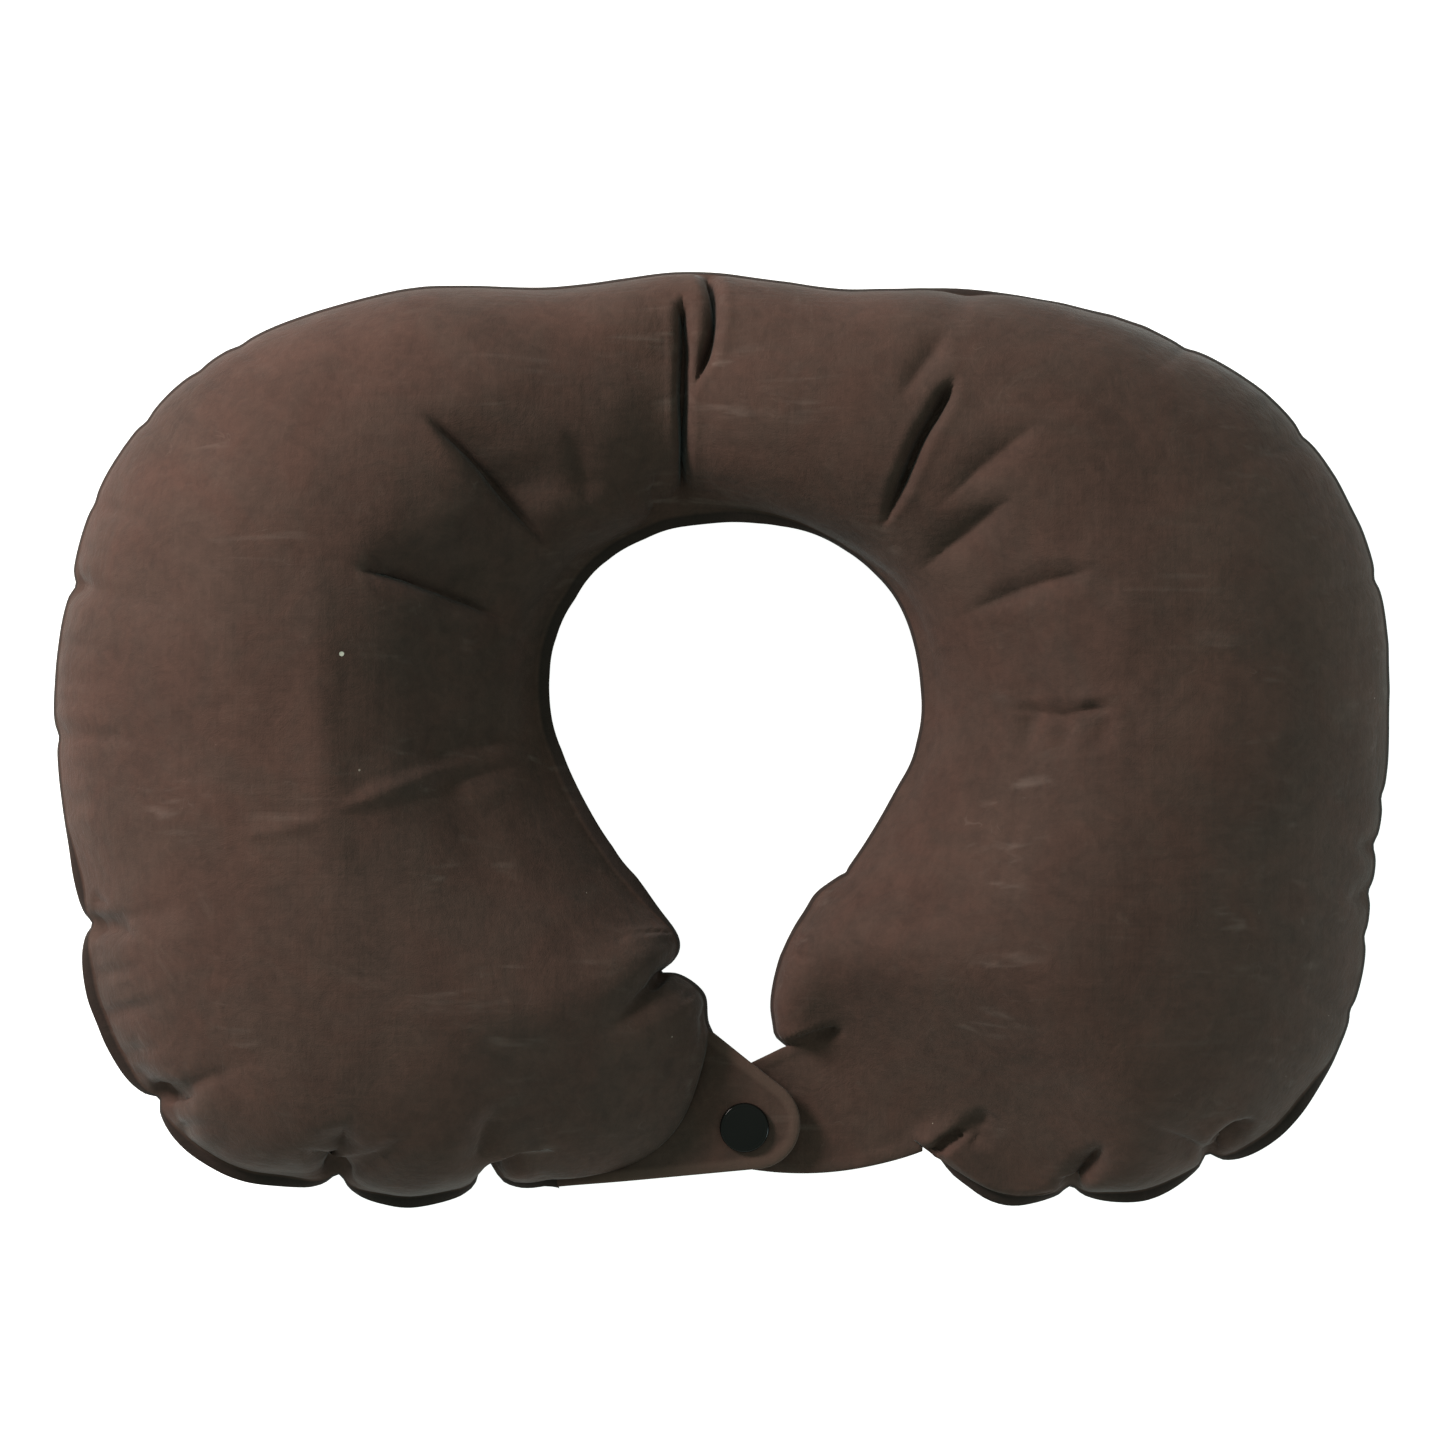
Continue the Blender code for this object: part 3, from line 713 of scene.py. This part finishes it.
def pillow(look):
    start = Outline(np.linspace(0, 1, COLUMNS))
    film = start.film(ROWS, START_HEIGHT)
    film = blown_up(film, start.cut(ROWS), frames=20, pressure=0.5)
    film[..., 2] *= HALF_HEIGHT / film[..., 2].max()
    shares = fine_shares()
    film = refined(film, shares)
    outline = Outline(shares)
    film = uneven(carved(shaped_ends(film)), seed=7.3)
    for name, side in (("upper_panel", 1), ("lower_panel", -1)):
        panel = panel_mesh(name, film, outline, side)
        panel.data.materials.append(look)
        bend_across_crease(panel)
        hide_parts(f"{name}_left", f"{name}_right")


class Tab:
    """The plan of one tab: its root line, the way out from it, and its outline at any inset."""

    BACK = 6.0  # how far the tab runs back from its root, under the end of the panel
    BACK_IN = 0.7  # and how far it narrows there, as a share of that
    BACK_POINTS, SIDE_POINTS, ARC_POINTS = 6, 26, 60

    def __init__(self, root, tip, bow=0.0):
        self.start, self.end = (np.array(point, float) for point in root)
        self.tip = np.array(tip, float)
        self.bow = bow
        along = self.end - self.start
        self.length = np.linalg.norm(along)
        self.along = along / self.length
        out = np.array([self.along[1], -self.along[0]])
        self.out = out if out @ (self.tip - self.start) > 0 else -out
        self.turn = 1 if np.cross(self.along, self.out) > 0 else -1

    def touching_angle(self, point, turn):
        """Where on the tip's circle the straight edge from a point touches it."""
        away = point - self.tip
        between = math.acos(TIP_RADIUS / np.linalg.norm(away))
        return math.atan2(away[1], away[0]) + turn * between

    def path(self, inset):
        """The outline from one end of the root round the tip to the other, moved inwards."""
        first = self.touching_angle(self.start, -self.turn)
        last = self.touching_angle(self.end, self.turn)
        if self.turn > 0 and last > first:
            last -= 2 * math.pi
        if self.turn < 0 and last < first:
            last += 2 * math.pi
        radius = TIP_RADIUS - inset
        angles = np.linspace(first, last, self.ARC_POINTS)
        tip = self.tip + radius * np.stack([np.cos(angles), np.sin(angles)], axis=1)
        sides = []
        for angle, touch, bow, inwards in (
            (first, tip[0], 0, self.along),
            (last, tip[-1], self.bow, -self.along),
        ):
            normal = np.array([math.cos(angle), math.sin(angle)])
            distance = (radius - (self.start - self.tip) @ normal) / (self.along @ normal)
            root = self.start + self.along * distance
            foot = root - (self.out - self.BACK_IN * inwards) * self.BACK
            share = np.linspace(0, 1, self.BACK_POINTS, endpoint=False)[:, None]
            back = foot * (1 - share) + root * share
            share = np.linspace(0, 1, self.SIDE_POINTS, endpoint=False)[:, None]
            bowed = normal * bow * 4 * share * (1 - share)
            sides.append(np.concatenate([back, root * (1 - share) + touch * share + bowed]))
        return np.concatenate([sides[0], tip, sides[1][::-1]])

    def level(self, plan, lift):
        """How far the tab has risen from the seam at places of its plan."""
        far = (plan - self.start) @ self.out
        return lift * smooth(far / LEVEL_FROM)


# The face of a tab, from its edge inwards: the inset and the half thickness. The plies
# are welded in a band round it, which stands a little proud.
TAB_FACE = (
    (0.0, 0.0), (0.1, 0.28), (0.35, 0.5), (0.9, 0.66), (1.8, 0.74), (2.7, 0.74),
    (3.4, 0.66), (4.0, 0.52), (4.6, 0.46), (5.6, 0.46), (7.0, 0.5),
)
WELD_BAND = (4.2, 2.6)  # it starts at the first of these insets and is full at the second
BAND_FROM = (-3, 7)  # and it starts so far from the root
TAB_ROWS = 12


def tab_mesh(name, tab, lift):
    """A tab as one closed skin: rings of the outline, then rows across the middle."""
    rings = [tab.path(inset) for inset, _ in TAB_FACE]
    count = len(rings[0])
    half = count // 2
    inner = rings[-1]
    share = np.linspace(0, 1, TAB_ROWS + 1)[1:-1, None]
    across = [inner[k] * (1 - share) + inner[count - 1 - k] * share for k in range(half)]
    plan = np.concatenate([*rings, *across])
    thick = np.concatenate(
        [np.full(count, height) for _, height in TAB_FACE]
        + [np.full(half * (TAB_ROWS - 1), TAB_FACE[-1][1])]
    )
    weld = np.concatenate(
        [np.full(count, rise(inset, *WELD_BAND)) for inset, _ in TAB_FACE]
        + [np.zeros(half * (TAB_ROWS - 1))]
    )
    weld = weld * rise((plan - tab.start) @ tab.out, *BAND_FROM) * (lift > 0)
    height = SEAM_Z + tab.level(plan, lift)
    ring = np.arange(len(rings) * count).reshape(len(rings), count)
    middle = len(rings) * count + np.arange(half * (TAB_ROWS - 1)).reshape(half, -1)
    fill = np.concatenate(
        [ring[-1, :half, None], middle, ring[-1, : half - 1 : -1, None]], axis=1
    )
    top = np.concatenate([quads(ring), quads(fill.T)])[:, [0, 3, 2, 1]]
    # The edge ring is shared, and every other point has a twin on the lower face.
    total = len(plan)
    twin = np.arange(total) + total - count
    twin[:count] = np.arange(count)
    bottom = twin[top][:, ::-1]
    upper, lower = (np.column_stack([plan, height + side * thick]) for side in (1, -1))
    points = np.concatenate([upper, lower[count:]])
    faces = np.concatenate([top, bottom])
    if tab.turn > 0:
        faces = faces[:, ::-1]
    obj = mesh_object(name, points, faces.tolist())
    mark(obj, "weld", np.concatenate([weld, weld[count:]]))
    return obj


def tabs(look):
    for arm, root, tip, bow, lift, bends in (
        ("left", LEFT_ROOT, LEFT_TIP, 0, TAB_OFFSET, (6, 16)),
        ("right", RIGHT_ROOT, RIGHT_TIP, TAB_BOW, -TAB_OFFSET, (-2, 7)),
    ):
        tab = Tab(root, tip, bow)
        obj = tab_mesh(f"{arm}_tab_plies", tab, lift)
        obj.data.materials.append(look)
        middle = (tab.start + tab.end) / 2
        start, end = ((*((middle + tab.out * far) * MM), SEAM_Z * MM) for far in bends)
        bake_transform(obj, f"{arm}_half", f"{arm}_tab", start=start, end=end)
        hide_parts(f"{arm}_tab_top_ply", f"{arm}_tab_bottom_ply")


def turned(name, profile, look, body, place, edge=0.12):
    """A turned piece. Its profile of radius and height runs down its outer side."""
    angles = np.linspace(0, 2 * math.pi, TURN_STEPS, endpoint=False)
    radius, height = np.array(profile, float).T[..., None]
    height = np.repeat(height, TURN_STEPS, axis=1)
    points = np.stack([radius * np.cos(angles), radius * np.sin(angles), height], axis=-1)
    index = np.arange(len(profile) * TURN_STEPS).reshape(-1, TURN_STEPS)
    index = np.column_stack([index, index[:, 0]])
    if profile[0][0] > 0:
        index = np.concatenate([index, index[:1]])
    obj = mesh_object(name, points, quads(index).tolist())
    form = bmesh.new()
    form.from_mesh(obj.data)
    bmesh.ops.remove_doubles(form, verts=form.verts, dist=0.0005 * MM)
    bmesh.ops.recalc_face_normals(form, faces=form.faces)
    form.to_mesh(obj.data)
    form.free()
    return finished(obj, look, body, place, edge)


def finished(obj, look, body, place, edge):
    """Softens the edges of a hard piece, puts it in place and lets it ride on its body."""
    obj.data.shade_smooth()
    obj.data.set_sharp_from_angle(angle=SHARP)
    obj.data.materials.append(look)
    soften = obj.modifiers.new("soft edges", "BEVEL")
    soften.width = edge * MM
    soften.segments = 3
    soften.limit_method = "ANGLE"
    soften.angle_limit = SHARP
    obj.matrix_world = place
    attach(obj, body)
    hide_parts(obj.name.removesuffix("_shown"))
    return obj


def ring_wire(name, look, body, place):
    """The open ring of the snap's spring."""
    radius, wire, height, opening = 4.1, 0.4, 0.25, math.radians(20)
    curve = bpy.data.curves.new(name, "CURVE")
    curve.dimensions = "3D"
    curve.bevel_depth = wire * MM
    curve.bevel_resolution = 5
    curve.use_fill_caps = True
    spline = curve.splines.new("POLY")
    angles = np.linspace(opening, 2 * math.pi - opening, 90)
    spline.points.add(len(angles) - 1)
    for point, angle in zip(spline.points, angles):
        x, y = radius * math.cos(angle), radius * math.sin(angle)
        point.co = (x * MM, y * MM, height * MM, 1)
    obj = new_object(name, curve)
    curve.materials.append(look)
    obj.matrix_world = place
    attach(obj, body)
    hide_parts(name.removesuffix("_shown"))


def press_stud(enamel, metal):
    place = Matrix.Translation(Vector((*SNAP_AT, SEAM_Z)) * MM)
    cap = (
        (0, 6.05), (2.5, 6.0), (4.6, 5.84), (5.7, 5.66), (6.1, 5.52), (6.35, 5.4),
        (6.6, 5.46), (6.95, 5.4), (7.3, 5.15), (7.55, 4.75), (7.6, 4.1), (1.7, 4.1),
        (1.7, 1.05), (2.5, 1.05), (2.5, 0.75), (0, 0.75),
    )
    turned("snap_cap_shown", cap, enamel, "left_tab", place, edge=0.08)
    socket = (
        (6.2, 1.8), (6.2, -0.9), (3.6, -0.9), (3.6, -0.4), (5.4, -0.4),
        (5.4, 1.35), (2.0, 1.35), (2.0, 1.8),
    )
    turned("snap_socket_shown", socket, metal, "left_tab", place)
    ring_wire("snap_spring_shown", metal, "left_tab", place)
    stud = (
        (0, 0.45), (2.5, 0.45), (3.1, 0.15), (3.1, -0.3), (2.7, -0.5), (2.7, -1.2),
        (5.5, -1.2), (5.5, -1.8), (1.95, -1.8), (1.95, -0.1), (0, -0.1),
    )
    turned("snap_stud_shown", stud, metal, "right_tab", place)
    eyelet = ((0, -0.45), (1.6, -0.45), (1.6, -4.1), (5.5, -4.1), (5.5, -4.7), (0, -4.7))
    turned("snap_eyelet_shown", eyelet, metal, "right_tab", place)


def box_mesh(name, low, high):
    size = Vector(high) - Vector(low)
    form = bmesh.new()
    bmesh.ops.create_cube(form, size=1)
    bmesh.ops.scale(form, vec=size * MM, verts=form.verts)
    bmesh.ops.translate(form, vec=(Vector(low) + size / 2) * MM, verts=form.verts)
    mesh = bpy.data.meshes.new(name)
    form.to_mesh(mesh)
    form.free()
    return new_object(name, mesh)


def join(first, second):
    """Adds the second piece's mesh to the first."""
    form = bmesh.new()
    form.from_mesh(first.data)
    form.from_mesh(second.data)
    form.to_mesh(first.data)
    form.free()
    bpy.data.objects.remove(second)


def valve(look):
    seat = valve_frame()
    place = Matrix.Translation(seat.translation * MM) @ seat.to_3x3().to_4x4()
    skirt = [(r, 0.9 + 0.3 * (11 - r) / 3.2) for r in (8.4, 9.2, 10.0, 10.6, 11.0)]
    under = [(r, 0.5) for r in (11.0, 10.4, 9.6, 8.8, 7.8, 7.0, 6.2)]
    neck = ((5.3, 1.6), (6.2, 1.6), (7.0, 1.35), (7.8, 1.2))
    flange = (*neck, *skirt, *under, (6.2, -9), (5.3, -9))
    obj = turned("valve_flange_shown", flange, look, "right_half", place)
    for vertex in obj.data.vertices:
        vertex.co.z -= float(flange_drop(vertex.co.y / MM)) * MM
    stem = ((3.2, 3.2), (6.2, 3.2), (6.2, 2.0), (5.0, 2.0), (5.0, -12.0), (3.2, -12.0))
    turned("valve_stem_shown", stem, look, "valve_stem", place)
    strap = box_mesh("stopper_strap_shown", (-7.9, -1.6, 2.1), (-6.1, 1.6, 2.9))
    finished(strap, look, "valve_stem", place, 0.25)
    flap = ((0, -12.4), (4.6, -12.4), (4.6, -12.9), (0, -12.9))
    turned("valve_flap_shown", flap, look, "valve_flap", place)
    stopper = (
        (0, 5.1), (3.0, 4.9), (5.4, 4.5), (5.9, 4.1),
        (5.9, 3.5), (2.9, 3.5), (2.4, 1.0), (0, 1.0),
    )
    plug = turned("valve_stopper_shown", stopper, look, "valve_stopper", place)
    ear = box_mesh("ear", (-8.0, -1.6, 3.55), (-4.5, 1.6, 4.25))
    join(plug, ear)


class Nodes:
    """Shortcuts for building a material's node tree."""

    def __init__(self, name):
        self.look = bpy.data.materials.new(name)
        self.look.use_nodes = True
        self.tree = self.look.node_tree
        self.shader = self.tree.nodes["Principled BSDF"]
        self.place = self.tree.nodes.new("ShaderNodeTexCoord").outputs["Object"]

    def feed(self, socket, value):
        if isinstance(value, bpy.types.NodeSocket):
            self.tree.links.new(value, socket)
        else:
            socket.default_value = value

    def node(self, kind, inputs, **settings):
        made = self.tree.nodes.new(f"ShaderNode{kind}")
        for name, value in settings.items():
            setattr(made, name, value)
        for name, value in inputs.items():
            self.feed(made.inputs[name], value)
        return made

    def noise(self, scale, detail=3.0, roughness=0.55, distortion=0.0, stretch=None, turn=0):
        place = self.place
        if stretch:
            rotation = (0, 0, math.radians(turn))
            mapping = {"Vector": place, "Rotation": rotation, "Scale": stretch}
            place = self.node("Mapping", mapping).outputs[0]
        inputs = {"Vector": place, "Scale": scale, "Detail": detail}
        inputs |= {"Roughness": roughness, "Distortion": distortion}
        return self.node("TexNoise", inputs).outputs["Fac"]

    def ramp(self, value, low, high, to_low=0.0, to_high=1.0):
        inputs = {"Value": value, "From Min": low, "From Max": high}
        inputs |= {"To Min": to_low, "To Max": to_high}
        made = self.node("MapRange", inputs, interpolation_type="SMOOTHSTEP")
        return made.outputs["Result"]

    def math(self, operation, first, second=0.0):
        made = self.tree.nodes.new("ShaderNodeMath")
        made.operation = operation
        self.feed(made.inputs[0], first)
        self.feed(made.inputs[1], second)
        return made.outputs[0]

    def mixed(self, share, first, second):
        made = self.tree.nodes.new("ShaderNodeMix")
        made.data_type = "RGBA"
        self.feed(made.inputs["Factor"], share)
        self.feed(made.inputs[MIX_A], first)
        self.feed(made.inputs[MIX_B], second)
        return made.outputs[MIX_RESULT]

    def painted(self, under, where, strength, color):
        """A colour laid over another one, as strong as this, where a value says."""
        return self.mixed(self.math("MULTIPLY", where, strength), under, (*color, 1))

    def shade(self, inputs):
        for name, value in inputs.items():
            self.feed(self.shader.inputs[name], value)

    def relief(self, height, distance, below=None):
        inputs = {"Height": height, "Strength": 1.0, "Distance": distance}
        if below is not None:
            inputs["Normal"] = below
        return self.node("Bump", inputs).outputs["Normal"]


def flock_material():
    """Short brown flock on PVC: mottled, rubbed, with pale lint, greyer seen edge on, and painted shade on
    the panels' welded margins.
    """
    nodes = Nodes("brown_flock")
    dark, light = (0.030, 0.0195, 0.016, 1), (0.092, 0.051, 0.040, 1)
    # Each noise has a scale, a detail, a roughness and a distortion.
    broad = nodes.noise(11, 5, 0.62, 0.7)
    brushed = nodes.noise(26, 5, 0.7, 0.5, stretch=(1, 0.45, 1))
    patches = nodes.noise(60, 5, 0.7, 1.6)
    mottle = nodes.noise(210, 4, 0.7, 0.6)
    threads = nodes.math(
        "ADD",
        nodes.noise(620, detail=1, stretch=(1, 0.05, 1)),
        nodes.noise(620, detail=1, stretch=(0.05, 1, 1)),
    )
    fibres = nodes.noise(2400, detail=2)
    tone = nodes.math("MULTIPLY", nodes.ramp(broad, 0.32, 0.68), 0.20)
    for part, share in (
        (nodes.ramp(brushed, 0.3, 0.7), 0.20),
        (nodes.ramp(patches, 0.3, 0.7), 0.16),
        (nodes.ramp(mottle, 0.3, 0.7), 0.22),
        (threads, 0.11),
        (fibres, 0.22),
    ):
        tone = nodes.math("ADD", tone, nodes.math("MULTIPLY", part, share))
    brown = nodes.mixed(tone, dark, light)

    hue = nodes.ramp(nodes.noise(30, 4, 0.7, 0.8), 0.36, 0.64)
    tint = nodes.mixed(hue, (0.96, 1.02, 1.03, 1), (1.03, 0.985, 0.98, 1))
    brown = nodes.node("VectorMath", {0: brown, 1: tint}, operation="MULTIPLY").outputs[0]

    # Where hands and skin have rubbed the pile, it is paler and greyer.
    worn = nodes.ramp(nodes.noise(19, 6, 0.75, 2.2), 0.56, 0.8)
    brown = nodes.painted(brown, worn, 0.4, (0.115, 0.078, 0.064))

    # Rub marks are short pale strokes, most of them along the arms or across them.
    where = nodes.ramp(nodes.noise(22, detail=3), 0.44, 0.62)
    middle = nodes.math("SUBTRACT", nodes.noise(70, detail=2, distortion=0.8), 0.5)
    bend = nodes.math("ABSOLUTE", middle)
    bits = nodes.ramp(nodes.noise(130, detail=2), 0.52, 0.68)
    curls = nodes.math("MULTIPLY", nodes.ramp(bend, 0.0, 0.008, 1.0, 0.0), bits)
    curls = nodes.math("MULTIPLY", curls, where)
    brown = nodes.painted(brown, curls, 0.2, (0.2, 0.145, 0.125))
    for degrees, scale in ((8, 150), (-38, 190), (76, 170)):
        strokes = nodes.noise(scale, 3, 0.5, 0.4, stretch=(0.09, 1, 0.6), turn=degrees)
        strokes = nodes.math("MULTIPLY", nodes.ramp(strokes, 0.6, 0.84), where)
        brown = nodes.painted(brown, strokes, 0.26, (0.26, 0.2, 0.175))

    # Specks of lint: a few of the cells hold one, each of its own size.
    cells = nodes.node("TexVoronoi", {"Vector": nodes.place, "Scale": 75.0})
    chance = nodes.node("SeparateColor", {"Color": cells.outputs["Color"]})
    size = nodes.ramp(chance.outputs["Red"], 0.62, 1.0, 0.0, 0.03)
    speck = nodes.math("LESS_THAN", cells.outputs["Distance"], size)
    brown = nodes.painted(brown, speck, 0.75, (0.42, 0.33, 0.28))

    # One larger bit of lint.
    flat = nodes.node("Mapping", {"Vector": nodes.place, "Scale": (1, 1, 0.02)}).outputs[0]
    ends = {0: flat, 1: (-0.113, 0.025, 0.00194)}
    gap = nodes.node("VectorMath", ends, operation="DISTANCE").outputs["Value"]
    brown = nodes.mixed(nodes.math("LESS_THAN", gap, 0.0007), brown, (0.75, 0.7, 0.6, 1))

    # The weld is above 0 on a tab, which is rubbed paler there, and under 0 on a panel's margin. The margin
    # is darkened with painted shade: partly pressed flock, partly the shadow the margin lies in under the
    # overhanging film.
    weld = nodes.node("Attribute", {}, attribute_name="weld").outputs["Fac"]
    pressed = nodes.painted(brown, weld, 0.45, (0.13, 0.08, 0.063))
    # Painted shade: the panels' welded margins are darkened almost to black, for their shadow under the film
    # as well as the pressed flock.
    pressed = nodes.painted(pressed, weld, -0.7, (0.016, 0.013, 0.012))

    pile = nodes.relief(fibres, 0.00012)
    pile = nodes.relief(threads, 0.00010, below=pile)
    pile = nodes.relief(patches, 0.0003, below=pile)
    pile = nodes.relief(brushed, 0.0005, below=pile)
    nodes.shade(
        {
            "Base Color": pressed,
            "Normal": pile,
            "Roughness": 0.88,
            "Specular IOR Level": 0.2,
            "Sheen Weight": 0.11,
            "Sheen Roughness": 0.32,
            "Sheen Tint": (0.8, 0.97, 1, 1),
        }
    )
    return nodes.look


def plain_material(name, color, roughness, metallic=0.0, specular=0.5):
    """A smooth surface with the faint unevenness of use."""
    nodes = Nodes(name)
    marks = nodes.noise(900, detail=4, roughness=0.5)
    spread = {"Value": marks, "To Min": roughness * 0.8, "To Max": roughness * 1.3}
    rough = nodes.node("MapRange", spread).outputs["Result"]
    nodes.shade({"Base Color": (*color, 1), "Metallic": metallic, "Roughness": rough})
    nodes.shade({"Specular IOR Level": specular})
    return nodes.look


def camera():
    """Straight above the pillow, its back at the top of the picture."""
    height, frame_width, sensor = 1.6, 0.4428, 36
    data = bpy.data.cameras.new("camera")
    data.sensor_width = sensor
    data.lens = sensor * (height - SEAM_Z * MM) / frame_width
    obj = new_object("camera", data)
    obj.location = (0.0002, 0.0046, height)
    bpy.context.scene.camera = obj


def area_light(name, location, size, power, color):
    data = bpy.data.lights.new(name, "AREA")
    data.shape = "DISK"
    data.size = size
    data.energy = power
    data.color = color
    obj = new_object(name, data)
    obj.location = location
    obj.rotation_euler = (-Vector(location)).to_track_quat("-Z", "Y").to_euler()


def studio():
    """A white room and floor, a key light from the left and a low fill."""
    bpy.context.scene.view_settings.view_transform = "Standard"
    world = bpy.data.worlds.new("white_room")
    world.use_nodes = True
    # The room looks white past the edge of the floor, and lights the pillow softly.
    tree = world.node_tree
    seen = tree.nodes.new("ShaderNodeLightPath").outputs["Is Camera Ray"]
    room = tree.nodes.new("ShaderNodeMix")
    room.data_type = "RGBA"
    room.inputs[MIX_A].default_value = (0.32, 0.415, 0.365, 1)
    room.inputs[MIX_B].default_value = (1, 1, 1, 1)
    tree.links.new(seen, room.inputs["Factor"])
    tree.links.new(room.outputs[MIX_RESULT], tree.nodes["Background"].inputs["Color"])
    bpy.context.scene.world = world
    area_light("key", (-1.0, 0.74, 0.7), 0.5, 23.5, (1, 0.88, 0.83))
    area_light("fill", (1.2, -0.4, 0.06), 0.6, 5, (0.75, 0.95, 1))

    bpy.ops.mesh.primitive_plane_add(size=80, location=(0, 0, -0.0005))
    floor = bpy.context.object
    floor.name = "floor"
    paper = Nodes("white_paper")
    # It looks white, and lights the underside of the pillow less than it looks.
    seen = paper.node("LightPath", {}).outputs["Is Camera Ray"]
    glow = paper.node("MapRange", {"Value": seen, "To Min": 0.35, "To Max": 0.9})
    paper.shade(
        {
            "Base Color": (0.95, 0.95, 0.95, 1),
            "Roughness": 0.9,
            "Specular IOR Level": 0.0,
            "Emission Color": (1, 1, 1, 1),
            "Emission Strength": glow.outputs["Result"],
        }
    )
    floor.data.materials.append(paper.look)


def main():
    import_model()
    flock = flock_material()
    enamel = plain_material("black_enamel", (0.006, 0.0055, 0.005), 0.12, specular=0.2)
    metal = plain_material("stud_metal", (0.3, 0.29, 0.275), 0.34, metallic=1.0)
    pvc = plain_material("valve_pvc", (0.022, 0.019, 0.018), 0.42)
    pillow(flock)
    tabs(flock)
    press_stud(enamel, metal)
    valve(pvc)
    camera()
    studio()


main()
